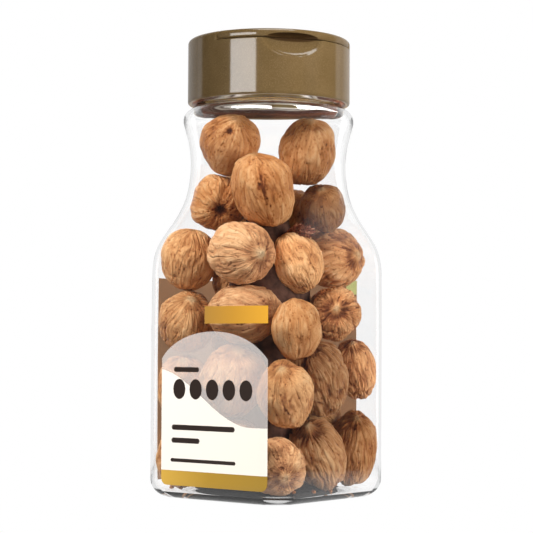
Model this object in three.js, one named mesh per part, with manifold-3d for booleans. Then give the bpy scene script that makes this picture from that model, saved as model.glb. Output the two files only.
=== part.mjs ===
// A clear square spice jar of whole nutmegs, with a screw cap that has a hinged flap.
// Millimetres, +Z up. The origin is the middle of the base, and the front label faces -Y.
import * as THREE from 'three';
import { mergeVertices } from 'three/addons/utils/BufferGeometryUtils.js';
import Module from 'manifold-3d';

const wasm = await Module();
wasm.setup();

const clearance = 0.3;

const jar = {
  wall: 0.8,
  footHalf: 22.8,
  footInnerHalf: 19.4,
  footCornerInset: 2,
  middleCornerInset: 3,
  pushUp: 0.9,
  pushUpSlope: 2,
  heel: 5.7,
  floor: 1.9,
  floorEdge: 1.2,
  neckBottom: 125.4,
  neckTop: 139.4,
  neckRadius: 22.8,
  neckWall: 1.5,
  neckCorner: 22.6,
};

// Height, half side, corner radius and wall thickness of the square section, from the straight
// body through the shoulder and the waist to the thick bead and the round neck.
const bodyStations = [
  [5.7, 28.5, 8.8, 0.8],
  [70, 28.5, 8.8, 0.8],
  [76, 28.1, 9.1, 0.8],
  [80, 27.2, 9.8, 0.8],
  [84, 25.8, 11.3, 0.8],
  [88, 24.5, 13.3, 0.8],
  [93.5, 23.2, 15.3, 0.8],
  [99, 22.6, 16.4, 0.8],
  [105.5, 22.4, 16.9, 0.8],
  [111, 23.1, 17.8, 0.8],
  [115.5, 24.3, 19.3, 0.8],
  [119, 25.4, 21.1, 0.9],
  [121.5, 25.2, 22.4, 1.2],
  [124, 23.2, 23.0, 1.6],
];

const cap = {
  radius: 25.85,
  bottom: 124.5,
  top: 144.7,
  edge: 1.2,
  rimChamfer: 0.3,
  boreRadius: 23.6,
  lipRadius: 24.4,
  lipDepth: 2.2,
  plate: 4.3,
  segments: 48,
};

// The flap is the part of the cap's top beyond a straight hinge line. The cap's own top ends at
// the seat line. turn is the way that the flap faces, from -Y towards +X. The thumb scoop is
// pressed into the cap's wall and a little into the flap's lower edge.
const flap = {
  turn: 58,
  seatLine: 13,
  hinge: 14,
  thickness: 2.6,
  lowerChamfer: 0.4,
  mouthStart: 14.6,
  mouthRadius: 21.6,
  scoopTurn: 56,
  scoopHalfWidth: 9.6,
  scoopHeight: 6.1,
  scoopDepth: 2,
  undercutHeight: 1.3,
  undercutDepth: 1.4,
};

const label = {
  gap: clearance,
  thickness: 0.2,
  left: -18.9,
  right: 22.9,
  bottom: 4.5,
  cornerRadius: 2.2,
  bandTop: 9.1,
  windowMiddle: 2,
  windowHalf: 22.8,
  windowShoulder: 38,
  windowTop: 51.9,
  curveStart: -22,
  curveEnd: 17,
  curveHigh: 40.5,
  curveLow: 23.2,
  tagLeft: -1.5,
  tagBottom: 54.3,
  tagTop: 59.6,
  sheetStep: 1.6,
  bandStep: 1.1,
};

const backLabel = {
  left: -120.7,
  right: -32.1,
  bottom: 4.6,
  top: 69,
  sheetStep: 2.6,
};

// The nutmegs that show at the front: place across the front corner, place out towards that
// corner, height, half girth, half length, tilt of the long axis from upright towards the
// right, and its lean out towards the corner.
const cornerTurn = 38.8;
const frontNutmegs = [
  [-12.1, 12, 111.2, 9.4, 11, 25, 52],
  [11.6, 8, 105.3, 8.8, 11.3, 8, 0],
  [-4.4, 14, 95.4, 9.9, 12, -15, 15],
  [-16.3, 4, 94, 9.2, 10, 160, 70],
  [17.5, 6, 93.4, 7.2, 7.9, -10, 20],
  [7.6, -8, 90.8, 8.8, 9.2, 30, 0],
  [-4.7, -10, 98, 8.8, 9.4, 70, 0],
  [-26, 2.6, 72.6, 9.2, 9.9, 10, 10],
  [-6.7, 19, 75.8, 9.6, 11, 98, 38],
  [7.4, 9, 74.2, 8.2, 9.8, -25, 10],
  [20, 4, 75.6, 9.4, 10.6, 82, 10],
  [-25, 2, 50.8, 9.2, 10, 15, 20],
  [-7.9, 14, 56, 9.5, 11.8, 90, 0],
  [8.2, 22, 53.4, 7.5, 9.6, -5, 0],
  [20.2, 4, 56.8, 8.8, 9.2, 10, 75],
  [27.3, -8, 39.8, 6.9, 10, -10, 0],
  [21, 8, 34.4, 10.1, 13.2, -18, 0],
  [5.7, 24, 33, 8.3, 11.3, -10, 25],
  [-12.5, 14, 37.1, 10.2, 11.9, 10, 0],
  [-26.4, 2, 31.4, 8.6, 11.1, 0, 10],
  [-26.1, 2, 13, 8.9, 10.5, 10, 0],
  [2.9, 22, 11, 8.9, 9.4, 137, 50],
  [20.6, 12, 14.3, 8.8, 12, -20, 5],
  [28.4, -9, 14.8, 7.8, 12.5, 5, 0],
  [-11.9, 14, 12.3, 9.3, 10.2, 60, 10],
];

const fill = {
  girth: 8.8,
  length: 9.9,
  apart: 17.2,
  firstHeight: 11,
  lastHeight: 84,
  heightStep: 3,
  turnStep: 20,
  innerRing: 0.35,
};

const settling = {
  frontRounds: 120,
  allRounds: 160,
  freeRounds: 25,
  hold: 0.12,
  reach: 26,
  wallGap: 0.55,
  wallTurnStep: 15,
  wallTilts: [-50, -25, 0, 25, 50],
};

const core = {
  bodyInset: 13,
  bottom: 8,
  top: 103,
  step: 5,
  tip: 2,
  leastFlat: 0.5,
};

// A few-sided nutmeg grows a little, so that its flat faces lie on the real surface on average.
const shell = {
  sides: 11,
  rings: 8,
  facetGrowth: 1.03,
  fullness: 0.04,
  tolerance: 0.12,
};

const cavity = {
  floorHeight: 2.6,
  floorInset: 0.6,
};

const radians = THREE.MathUtils.degToRad;

function stationSlope(column, index) {
  if (index === 0 || index === bodyStations.length - 1) {
    return 0;
  }
  const rise = bodyStations[index + 1][column] - bodyStations[index - 1][column];
  return rise / (bodyStations[index + 1][0] - bodyStations[index - 1][0]);
}

// A smooth curve through the stations, with level ends.
function stationCurve(column, height) {
  let index = 0;
  while (index < bodyStations.length - 2 && height > bodyStations[index + 1][0]) {
    index += 1;
  }
  const span = bodyStations[index + 1][0] - bodyStations[index][0];
  const t = Math.min(1, Math.max(0, (height - bodyStations[index][0]) / span));
  const from = bodyStations[index][column];
  const to = bodyStations[index + 1][column];
  const slopeFrom = stationSlope(column, index) * span;
  const slopeTo = stationSlope(column, index + 1) * span;
  return (2 * t ** 3 - 3 * t ** 2 + 1) * from + (t ** 3 - 2 * t ** 2 + t) * slopeFrom
    + (3 * t ** 2 - 2 * t ** 3) * to + (t ** 3 - t ** 2) * slopeTo;
}

// Half side, corner radius and wall of the jar at a height. The heel is a quarter circle.
function jarSection(height) {
  const half = stationCurve(1, height);
  const corner = stationCurve(2, height);
  const wall = stationCurve(3, height);
  if (height >= jar.heel) {
    return { half, corner, wall };
  }
  const rise = jar.heel - Math.max(0, height);
  const inset = (half - jar.footHalf) * (1 - Math.sqrt(1 - (rise / jar.heel) ** 2));
  return { half: half - inset, corner: corner - inset / 2, wall };
}

function sectionRing(half, corner, height, cornerSteps = 6) {
  const points = [];
  const centre = half - corner;
  for (let quarter = 0; quarter < 4; quarter += 1) {
    const middle = radians(90 * quarter + 45);
    for (let step = 0; step <= cornerSteps; step += 1) {
      const turn = radians(90 * (quarter + step / cornerSteps));
      points.push([
        centre * Math.SQRT2 * Math.cos(middle) + corner * Math.cos(turn),
        centre * Math.SQRT2 * Math.sin(middle) + corner * Math.sin(turn),
        height,
      ]);
    }
  }
  return points;
}

// A closed body from a row of rings with as many points each, shut by a point at both ends.
function loft(rings, firstPole, lastPole) {
  const size = rings[0].length;
  const positions = [firstPole, ...rings.flat(), lastPole].flat();
  const last = 1 + rings.length * size;
  const faces = [];
  for (let side = 0; side < size; side += 1) {
    const next = (side + 1) % size;
    faces.push(0, 1 + next, 1 + side);
    for (let ring = 0; ring < rings.length - 1; ring += 1) {
      const low = 1 + ring * size;
      const high = low + size;
      faces.push(low + side, low + next, high + next);
      faces.push(low + side, high + next, high + side);
    }
    faces.push(last - size + side, last - size + next, last);
  }
  const geometry = new THREE.BufferGeometry();
  geometry.setAttribute('position', new THREE.Float32BufferAttribute(positions, 3));
  geometry.setIndex(faces);
  return geometry;
}

function toSolid(geometry) {
  const bare = geometry.clone();
  bare.deleteAttribute('normal');
  bare.deleteAttribute('uv');
  const merged = mergeVertices(bare, 1e-4);
  return new wasm.Manifold(new wasm.Mesh({
    numProp: 3,
    vertProperties: new Float32Array(merged.getAttribute('position').array),
    triVerts: new Uint32Array(merged.getIndex().array),
  }));
}

function toGeometry(solid) {
  const mesh = solid.getMesh();
  const geometry = new THREE.BufferGeometry();
  geometry.setAttribute('position', new THREE.Float32BufferAttribute(mesh.vertProperties, 3));
  geometry.setIndex(Array.from(mesh.triVerts));
  return geometry;
}

// The outermost of the separate shells that a joined body is made of.
function largestShell(solid) {
  let largest = null;
  for (const shell of solid.decompose()) {
    if (!largest || shell.volume() > largest.volume()) {
      largest = shell;
    }
  }
  return largest;
}

function named(name, geometry, material) {
  const mesh = new THREE.Mesh(geometry, material);
  mesh.name = name;
  return mesh;
}

function heightsBetween(from, to, step) {
  const count = Math.ceil((to - from) / step);
  return Array.from({ length: count + 1 }, (_, index) => from + (to - from) * index / count);
}

function jarHeights() {
  const heel = [0.5, 1.7, 3.4];
  const shoulder = heightsBetween(70, 112, 4.3);
  const bead = heightsBetween(112, 124, 2).slice(1);
  return [...heel, jar.heel, ...shoulder, ...bead];
}

function makeJar() {
  const foot = jarSection(0);
  const standing = foot.corner - jar.footCornerInset;
  const middleHalf = jar.footInnerHalf - jar.pushUpSlope;
  const middleCorner = foot.corner - jar.middleCornerInset;
  const outside = jarHeights().map((height) => {
    const { half, corner } = jarSection(height);
    return sectionRing(half, corner, height);
  });
  const insideHeights = jarHeights().filter((height) => height > jar.floorEdge).reverse();
  const inside = insideHeights.map((height) => {
    const { half, corner, wall } = jarSection(height);
    return sectionRing(half - wall, corner - wall, height);
  });
  const innerNeck = jar.neckRadius - jar.neckWall;
  const innerNeckCorner = jar.neckCorner - jar.neckWall;
  const rings = [
    sectionRing(middleHalf, middleCorner, jar.pushUp),
    sectionRing(jar.footInnerHalf, standing, 0),
    sectionRing(foot.half, foot.corner, 0),
    ...outside,
    sectionRing(jar.neckRadius, jar.neckCorner, jar.neckBottom),
    sectionRing(jar.neckRadius, jar.neckCorner, jar.neckTop),
    sectionRing(innerNeck, innerNeckCorner, jar.neckTop),
    sectionRing(innerNeck, innerNeckCorner, jar.neckBottom),
    ...inside,
    sectionRing(jar.footInnerHalf + 1, standing, jar.floorEdge),
    sectionRing(middleHalf, middleCorner, jar.floor),
  ];
  return loft(rings, [0, 0, jar.pushUp], [0, 0, jar.floor]);
}

// The space inside the jar, shrunk by the clearance on every side.
function makeCavity() {
  const heights = jarHeights().filter((height) => height > jar.floorEdge);
  const rings = heights.map((height) => {
    const { half, corner, wall } = jarSection(height);
    const inset = wall + clearance;
    return sectionRing(half - inset, corner - inset, height + clearance);
  });
  const floor = jar.floor + clearance;
  const low = jarSection(cavity.floorHeight);
  const inset = low.wall + clearance;
  rings[0] = sectionRing(low.half - inset - cavity.floorInset, low.corner - inset, floor);
  return toSolid(loft(rings, [0, 0, floor], [0, 0, rings.at(-1)[0][2]]));
}

function outwards(across, toward) {
  const turn = radians(cornerTurn);
  return new THREE.Vector2(
    across * Math.cos(turn) + toward * Math.sin(turn),
    across * Math.sin(turn) - toward * Math.cos(turn),
  );
}

function longAxis(tilt, lean) {
  const level = outwards(Math.sin(radians(tilt)) * Math.cos(radians(lean)), Math.sin(radians(lean)));
  return new THREE.Vector3(level.x, level.y, Math.cos(radians(tilt)) * Math.cos(radians(lean)));
}

function reach(nutmeg, direction) {
  const along = nutmeg.axis.dot(direction);
  return Math.sqrt(nutmeg.girth ** 2 * (1 - along ** 2) + nutmeg.length ** 2 * along ** 2);
}

function farthestPoint(nutmeg, direction) {
  const along = nutmeg.axis.dot(direction);
  const scale = 1 / reach(nutmeg, direction);
  return direction.clone().multiplyScalar(nutmeg.girth ** 2)
    .addScaledVector(nutmeg.axis, (nutmeg.length ** 2 - nutmeg.girth ** 2) * along)
    .multiplyScalar(scale)
    .add(nutmeg.centre);
}

function pushInsideWall(nutmeg) {
  let worst = 0;
  const push = new THREE.Vector3();
  for (let degrees = 0; degrees < 360; degrees += settling.wallTurnStep) {
    const x = Math.cos(radians(degrees));
    const y = Math.sin(radians(degrees));
    for (const tilt of settling.wallTilts) {
      const level = Math.cos(radians(tilt));
      const direction = new THREE.Vector3(x * level, y * level, Math.sin(radians(tilt)));
      const point = farthestPoint(nutmeg, direction);
      const { half, corner, wall } = jarSection(point.z);
      const slanted = (half - corner) * (Math.abs(x) + Math.abs(y)) + corner;
      const over = point.x * x + point.y * y - (slanted - wall - settling.wallGap);
      if (over > worst) {
        worst = over;
        push.set(-x * over, -y * over, 0);
      }
    }
  }
  nutmeg.centre.add(push);
  const floor = jar.floor + clearance;
  const lowest = nutmeg.centre.z - reach(nutmeg, new THREE.Vector3(0, 0, 1));
  nutmeg.centre.z += Math.max(0, floor - lowest);
}

function pushApart(first, second) {
  const between = second.centre.clone().sub(first.centre);
  const distance = between.length();
  if (distance > settling.reach) {
    return;
  }
  between.divideScalar(distance);
  const overlap = reach(first, between) + reach(second, between) - distance;
  if (overlap > 0) {
    first.centre.addScaledVector(between, -overlap / 2);
    second.centre.addScaledVector(between, overlap / 2);
  }
}

// A nutmeg of the list is drawn back to its place across and in height, but not in depth.
function holdInView(nutmeg) {
  const side = outwards(1, 0);
  const across = nutmeg.centre.x * side.x + nutmeg.centre.y * side.y;
  const shift = settling.hold * (nutmeg.across - across);
  nutmeg.centre.x += shift * side.x;
  nutmeg.centre.y += shift * side.y;
  nutmeg.centre.z += settling.hold * (nutmeg.height - nutmeg.centre.z);
}

function settle(nutmegs, rounds) {
  for (let round = 0; round < rounds; round += 1) {
    for (let i = 0; i < nutmegs.length; i += 1) {
      for (let j = i + 1; j < nutmegs.length; j += 1) {
        pushApart(nutmegs[i], nutmegs[j]);
      }
    }
    nutmegs.forEach(pushInsideWall);
    if (round < rounds - settling.freeRounds) {
      nutmegs.filter((nutmeg) => nutmeg.held).forEach(holdInView);
    }
  }
}

function listedNutmeg([across, toward, height, girth, length, tilt, lean]) {
  const place = outwards(across, toward);
  const centre = new THREE.Vector3(place.x, place.y, height);
  return { centre, across, height, girth, length, axis: longAxis(tilt, lean), held: true };
}

// Nutmegs behind the listed ones, tier by tier, wherever there is room for one.
function fillBehind(nutmegs) {
  let added = 0;
  const margin = jar.wall + fill.girth;
  for (let height = fill.firstHeight; height < fill.lastHeight; height += fill.heightStep) {
    const { half, corner } = jarSection(height);
    for (let degrees = 0; degrees < 360; degrees += fill.turnStep) {
      const x = Math.cos(radians(degrees));
      const y = Math.sin(radians(degrees));
      const slanted = (half - corner) * (Math.abs(x) + Math.abs(y)) + corner - margin;
      const square = (half - margin) / Math.max(Math.abs(x), Math.abs(y));
      for (const distance of [Math.min(slanted, square), slanted * fill.innerRing]) {
        const centre = new THREE.Vector3(x * distance, y * distance, height);
        if (nutmegs.every((nutmeg) => nutmeg.centre.distanceTo(centre) > fill.apart)) {
          const axis = longAxis(37 * added % 180, 23 * added % 60);
          nutmegs.push({ centre, girth: fill.girth, length: fill.length, axis, held: false });
          added += 1;
        }
      }
    }
  }
}

function pileNutmegs() {
  const nutmegs = frontNutmegs.map(listedNutmeg);
  settle(nutmegs, settling.frontRounds);
  fillBehind(nutmegs);
  settle(nutmegs, settling.allRounds);
  return nutmegs;
}

// One nutmeg with few sides: slightly fuller at one end.
function makeNutmeg(nutmeg) {
  const geometry = new THREE.SphereGeometry(1, shell.sides, shell.rings);
  geometry.rotateX(Math.PI / 2);
  const position = geometry.getAttribute('position');
  const turn = new THREE.Quaternion().setFromUnitVectors(new THREE.Vector3(0, 0, 1), nutmeg.axis);
  const girth = nutmeg.girth * shell.facetGrowth;
  const point = new THREE.Vector3();
  for (let index = 0; index < position.count; index += 1) {
    point.fromBufferAttribute(position, index);
    const fullness = 1 + shell.fullness * point.z;
    point.x *= girth * fullness;
    point.y *= girth * fullness;
    point.z *= nutmeg.length * shell.facetGrowth;
    point.applyQuaternion(turn).add(nutmeg.centre);
    position.setXYZ(index, point.x, point.y, point.z);
  }
  return toSolid(geometry);
}

// The middle of the heap, set in from the wall by more than half a nutmeg.
function makeCore() {
  const cornerSteps = 4;
  const rings = heightsBetween(core.bottom, core.top, core.step).map((height) => {
    const { half, corner } = jarSection(height);
    const inner = half - jar.wall - core.bodyInset;
    return sectionRing(inner, Math.min(corner, inner - core.leastFlat), height, cornerSteps);
  });
  return toSolid(loft(rings, [0, 0, core.bottom - core.tip], [0, 0, core.top + core.tip]));
}

function makeHeap() {
  let heap = makeCore();
  for (const nutmeg of pileNutmegs()) {
    heap = heap.add(makeNutmeg(nutmeg));
  }
  return toGeometry(largestShell(heap.intersect(makeCavity())).simplify(shell.tolerance));
}

function facing(degrees) {
  return new THREE.Vector2(Math.sin(radians(degrees)), -Math.cos(radians(degrees)));
}

function edgeArc(radius, top, edge) {
  const points = [];
  for (let step = 0; step <= 3; step += 1) {
    const turn = radians(90 - 30 * step);
    const out = radius - edge + edge * Math.cos(turn);
    points.push(new THREE.Vector2(out, top - edge + edge * Math.sin(turn)));
  }
  return points;
}

// A body turned about the upright axis, from a profile that runs down its outside.
function latheUp(profile, segments) {
  const geometry = new THREE.LatheGeometry(profile.toReversed(), segments);
  geometry.rotateX(Math.PI / 2);
  return geometry;
}

// A flat piece of a disc beyond a straight line, standing from one height to another.
function discSegment(line, radius, bottom, top, turn) {
  const half = Math.acos(line / radius);
  const shape = new THREE.Shape();
  shape.absarc(0, 0, radius, -half, half, false);
  shape.closePath();
  const depth = top - bottom;
  const geometry = new THREE.ExtrudeGeometry(shape, { depth, bevelEnabled: false, curveSegments: 24 });
  geometry.translate(0, 0, bottom);
  geometry.rotateZ(radians(turn - 90));
  return toSolid(geometry);
}

// The rounded cutter of the thumb scoop, centred on the wall at the flap's lower edge.
function makeScoop(depth, height) {
  const geometry = new THREE.SphereGeometry(1, 28, 20);
  const out = facing(flap.scoopTurn).multiplyScalar(cap.radius);
  geometry.scale(depth, flap.scoopHalfWidth, height);
  geometry.rotateZ(radians(flap.scoopTurn - 90));
  geometry.translate(out.x, out.y, cap.top - flap.thickness);
  return toSolid(geometry);
}

function makeCap() {
  const plateBottom = cap.top - cap.plate;
  const profile = [
    new THREE.Vector2(0, cap.top),
    ...edgeArc(cap.radius, cap.top, cap.edge),
    new THREE.Vector2(cap.radius, cap.bottom + cap.rimChamfer),
    new THREE.Vector2(cap.radius - cap.rimChamfer, cap.bottom),
    new THREE.Vector2(cap.lipRadius, cap.bottom),
    new THREE.Vector2(cap.boreRadius, cap.bottom + cap.lipDepth),
    new THREE.Vector2(cap.boreRadius, plateBottom),
    new THREE.Vector2(0, plateBottom),
  ];
  const past = 2;
  const seatBottom = cap.top - flap.thickness - clearance;
  const seat = discSegment(flap.seatLine, cap.radius + past, seatBottom, cap.top + past, flap.turn);
  const mouth = discSegment(flap.mouthStart, flap.mouthRadius, plateBottom - past, cap.top, flap.turn);
  const scoop = makeScoop(flap.scoopDepth, flap.scoopHeight);
  const body = toSolid(latheUp(profile, cap.segments));
  return toGeometry(body.subtract(seat).subtract(mouth).subtract(scoop));
}

function makeFlap() {
  const bottom = cap.top - flap.thickness;
  const past = 2;
  const profile = [
    new THREE.Vector2(0, cap.top),
    ...edgeArc(cap.radius, cap.top, cap.edge),
    new THREE.Vector2(cap.radius, bottom + flap.lowerChamfer),
    new THREE.Vector2(cap.radius - flap.lowerChamfer, bottom),
    new THREE.Vector2(0, bottom),
  ];
  const keep = discSegment(flap.hinge, cap.radius + past, bottom - past, cap.top + past, flap.turn);
  const undercut = makeScoop(flap.undercutDepth, flap.undercutHeight);
  const disc = toSolid(latheUp(profile, cap.segments));
  return toGeometry(disc.intersect(keep).subtract(undercut));
}

// A point on the jar's straight wall: along is measured round the wall from the middle of the
// -Y side towards +X, and out is the distance from the wall.
function wallPoint(along, height, out) {
  const { half, corner } = jarSection(Math.max(height, jar.heel));
  const inset = half - jarSection(height).half;
  const flat = half - corner;
  const bend = corner * Math.PI / 2;
  const side = 2 * flat + bend;
  const turns = Math.floor((along + flat) / side);
  const rest = along + flat - turns * side;
  const angle = Math.max(0, rest - 2 * flat) / corner;
  const x = Math.min(rest, 2 * flat) - flat + (corner + out - inset) * Math.sin(angle);
  const y = -flat - (corner + out - inset) * Math.cos(angle);
  const turn = turns * Math.PI / 2;
  return [
    x * Math.cos(turn) - y * Math.sin(turn),
    x * Math.sin(turn) + y * Math.cos(turn),
    height,
  ];
}

// A thin sheet on the wall between two edges, each a height for every place along the wall.
function wallSheet(left, right, lowEdge, highEdge, step = label.sheetStep) {
  const count = Math.ceil((right - left) / step);
  const rings = [];
  for (let index = 0; index <= count; index += 1) {
    const along = left + (right - left) * index / count;
    const inner = label.gap;
    const outer = label.gap + label.thickness;
    const low = lowEdge(along);
    const high = highEdge(along);
    rings.push([
      wallPoint(along, low, inner),
      wallPoint(along, high, inner),
      wallPoint(along, high, outer),
      wallPoint(along, low, outer),
    ]);
  }
  const middle = (ring) => ring[0].map((_, axis) => (ring[0][axis] + ring[2][axis]) / 2);
  return loft(rings, middle(rings[0]), middle(rings.at(-1)));
}

// The lower edge of the front label, with its two corners rounded.
function labelFoot(along) {
  const side = Math.min(along - label.left, label.right - along);
  const inside = Math.max(0, label.cornerRadius - side);
  const drop = label.cornerRadius - Math.sqrt(label.cornerRadius ** 2 - inside ** 2);
  return label.bottom + Math.min(drop, label.cornerRadius - clearance);
}

function panelTop(along) {
  const t = Math.min(1, Math.max(0, (along - label.curveStart) / (label.curveEnd - label.curveStart)));
  return label.curveLow + (label.curveHigh - label.curveLow) * (1 + Math.cos(Math.PI * t)) / 2;
}

function windowTop(along) {
  const t = (along - label.windowMiddle) / label.windowHalf;
  return label.windowShoulder + (label.windowTop - label.windowShoulder) * Math.sqrt(1 - t * t);
}

function straightEdge(height) {
  return () => height;
}

function finish(color, roughness, metalness = 0, opacity = 1) {
  return new THREE.MeshStandardMaterial({
    color,
    roughness,
    metalness,
    opacity,
    transparent: opacity < 1,
  });
}

const clearPlastic = finish(0xf4f6f6, 0.05, 0, 0.25);
const bronzePlastic = finish(0x8a744f, 0.38, 0.35);
const creamPrint = finish(0xfcf7eb, 0.5);
const veilPrint = finish(0xd9d0c8, 0.5, 0, 0.7);
const goldPrint = finish(0xc79a35, 0.4);
const backPrint = finish(0xf1e7d6, 0.5);
const nutmegShell = finish(0xb07a50, 0.75);

const panel = wallSheet(label.left, label.right, straightEdge(label.bandTop), panelTop);
const dome = wallSheet(
  label.left,
  label.right,
  (along) => panelTop(along) + clearance,
  windowTop,
);
const band = wallSheet(
  label.left,
  label.right,
  labelFoot,
  straightEdge(label.bandTop - clearance),
  label.bandStep,
);
const tag = wallSheet(
  label.tagLeft,
  label.right,
  straightEdge(label.tagBottom),
  straightEdge(label.tagTop),
);
const wrap = wallSheet(
  backLabel.left,
  backLabel.right,
  straightEdge(backLabel.bottom),
  straightEdge(backLabel.top),
  backLabel.sheetStep,
);

const nutmegJar = new THREE.Group();
nutmegJar.add(
  named('jar', makeJar(), clearPlastic),
  named('cap', makeCap(), bronzePlastic),
  named('cap_flap', makeFlap(), bronzePlastic),
  named('label_panel', panel, creamPrint),
  named('label_window', dome, veilPrint),
  named('label_band', band, goldPrint),
  named('label_tag', tag, goldPrint),
  named('label_back', wrap, backPrint),
  named('nutmegs', makeHeap(), nutmegShell),
);

export default nutmegJar;
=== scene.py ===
import math
import random

import bpy
import numpy as np
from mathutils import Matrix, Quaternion, Vector, noise


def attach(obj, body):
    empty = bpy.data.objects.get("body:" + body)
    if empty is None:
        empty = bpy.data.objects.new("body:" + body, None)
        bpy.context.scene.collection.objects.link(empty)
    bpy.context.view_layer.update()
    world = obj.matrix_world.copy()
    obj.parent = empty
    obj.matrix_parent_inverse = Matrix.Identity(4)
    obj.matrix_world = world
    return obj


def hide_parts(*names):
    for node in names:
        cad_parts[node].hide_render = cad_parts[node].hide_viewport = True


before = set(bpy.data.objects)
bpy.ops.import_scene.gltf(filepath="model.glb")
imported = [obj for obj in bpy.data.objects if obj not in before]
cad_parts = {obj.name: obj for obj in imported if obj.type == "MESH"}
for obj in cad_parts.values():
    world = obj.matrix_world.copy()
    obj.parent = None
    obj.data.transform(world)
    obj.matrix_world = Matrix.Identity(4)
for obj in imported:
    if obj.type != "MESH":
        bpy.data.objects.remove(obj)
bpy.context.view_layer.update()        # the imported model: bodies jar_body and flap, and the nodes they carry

scene = bpy.context.scene
random.seed(155)
noise.seed_set(155)
print("frame loaded:", len(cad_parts), "nodes")


def mm(value):
    return value / 1000


def deselectAll():
    if bpy.context.object and bpy.context.object.mode != "OBJECT":
        bpy.ops.object.mode_set(mode="OBJECT")
    bpy.ops.object.select_all(action="DESELECT")


def pick(piece):
    deselectAll()
    piece.select_set(True)
    bpy.context.view_layer.objects.active = piece


def named(name):
    piece = bpy.context.object
    piece.name = name
    piece.data.name = name
    return piece


def settle(piece):                       # place, turn and size go into the mesh
    pick(piece)
    bpy.ops.object.transform_apply(location=True, rotation=True, scale=True)


def finishModifiers(piece):
    pick(piece)
    for modifier in list(piece.modifiers):
        bpy.ops.object.modifier_apply(modifier=modifier.name)


def outwardNormals(piece):
    pick(piece)
    bpy.ops.object.mode_set(mode="EDIT")
    bpy.ops.mesh.select_all(action="SELECT")
    bpy.ops.mesh.remove_doubles(threshold=mm(0.002))
    bpy.ops.mesh.normals_make_consistent(inside=False)
    bpy.ops.object.mode_set(mode="OBJECT")


def smooth(piece, degrees=None):
    pick(piece)
    if degrees is None:
        bpy.ops.object.shade_smooth()
    else:
        bpy.ops.object.shade_smooth_by_angle(angle=math.radians(degrees))


def joinPieces(pieces, name):
    deselectAll()
    for piece in pieces:
        piece.select_set(True)
    bpy.context.view_layer.objects.active = pieces[0]
    bpy.ops.object.join()
    return named(name)


def dress(piece, material, body, slotName, *nodes):
    piece.data.materials.clear()
    piece.data.materials.append(material)
    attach(piece, body)
    if nodes:
        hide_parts(*nodes)


def outTo(degrees):                      # the level way out from the middle, turned from the label side
    turn = math.radians(degrees)
    return Vector((math.sin(turn), -math.cos(turn), 0))


def colour(hexCode):                     # sRGB hex to linear
    channels = [int(hexCode[i:i + 2], 16) / 255 for i in (1, 3, 5)]
    return (*[c / 12.92 if c <= 0.04045 else ((c + 0.055) / 1.055) ** 2.4 for c in channels], 1)


def addNode(tree, kind, inputs=None, stops=(), **settings):
    # an input is a value, or the node or socket that feeds it; a ramp's stops are pairs of place and colour
    node = tree.nodes.new("ShaderNode" + kind)
    for key, value in settings.items():
        setattr(node, key, value)
    for key, value in (inputs or {}).items():
        if isinstance(value, bpy.types.Node):
            value = value.outputs[0]
        if isinstance(value, bpy.types.NodeSocket):
            tree.links.new(value, node.inputs[key])
        else:
            node.inputs[key].default_value = value
    for index, (place, hexCode) in enumerate(stops):
        elements = node.color_ramp.elements
        element = elements[index] if index < 2 else elements.new(place)
        element.position = place
        element.color = colour(hexCode)
    return node


def newMaterial(name):
    material = bpy.data.materials.new(name)
    material.use_nodes = True
    material.node_tree.nodes.clear()
    return material, material.node_tree


def objectPlace(tree):                   # the place on the piece, in mm
    place = addNode(tree, "TexCoord").outputs["Object"]
    return addNode(tree, "VectorMath", {0: place, 1: (1000, 1000, 1000)}, operation="MULTIPLY").outputs[0]


def axisDistance(tree, place):           # how far out from the jar's middle line
    level = addNode(tree, "VectorMath", {0: place, 1: (1, 1, 0)}, operation="MULTIPLY")
    return addNode(tree, "VectorMath", {0: level}, operation="LENGTH").outputs["Value"]


jar = {                                  # sizes that the whole jar shares, in mm
    "wall": 0.8,
    "footHalf": 22.8,
    "footInnerHalf": 19.4,
    "pushUp": 0.9,
    "heel": 5.7,
    "floor": 1.9,
    "floorEdge": 2.3,                    # where the inner wall meets the floor
    "heelExtra": 0.5,                    # the wall is thicker low down, up to this height
    "heelExtraTop": 6,
    "neckTop": 139.4,
    "neckRadius": 22.8,
    "neckWall": 1.5,
    "sides": 96,                         # points round the jar
    "flatShare": 0.2,                    # share of the points on the flat sides
}
# height, half side, corner radius and wall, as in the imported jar
stations = np.array([
    [5.7, 28.5, 8.8, 0.8],
    [70, 28.5, 8.8, 0.8],
    [76, 28.1, 9.1, 0.8],
    [80, 27.2, 9.8, 0.8],
    [84, 25.8, 11.3, 0.8],
    [88, 24.5, 13.3, 0.8],
    [93.5, 23.2, 15.3, 0.8],
    [99, 22.6, 16.4, 0.8],
    [105.5, 22.4, 16.9, 0.8],
    [111, 23.1, 17.8, 0.8],
    [115.5, 24.3, 19.3, 0.8],
    [119, 25.4, 21.1, 0.9],
    [121.5, 25.2, 22.4, 1.2],
    [124, 23.2, 23.0, 1.6],
])
stationSlopes = np.zeros((len(stations), 4))
stationSlopes[1:-1] = (stations[2:] - stations[:-2]) / (stations[2:, :1] - stations[:-2, :1])


def stationCurve(column, height):
    index = np.clip(np.searchsorted(stations[:, 0], height, side="left") - 1, 0, len(stations) - 2)
    span = stations[index + 1, 0] - stations[index, 0]
    t = np.clip((height - stations[index, 0]) / span, 0, 1)
    return ((2 * t ** 3 - 3 * t ** 2 + 1) * stations[index, column]
            + (t ** 3 - 2 * t ** 2 + t) * stationSlopes[index, column] * span
            + (3 * t ** 2 - 2 * t ** 3) * stations[index + 1, column]
            + (t ** 3 - t ** 2) * stationSlopes[index + 1, column] * span)


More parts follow.
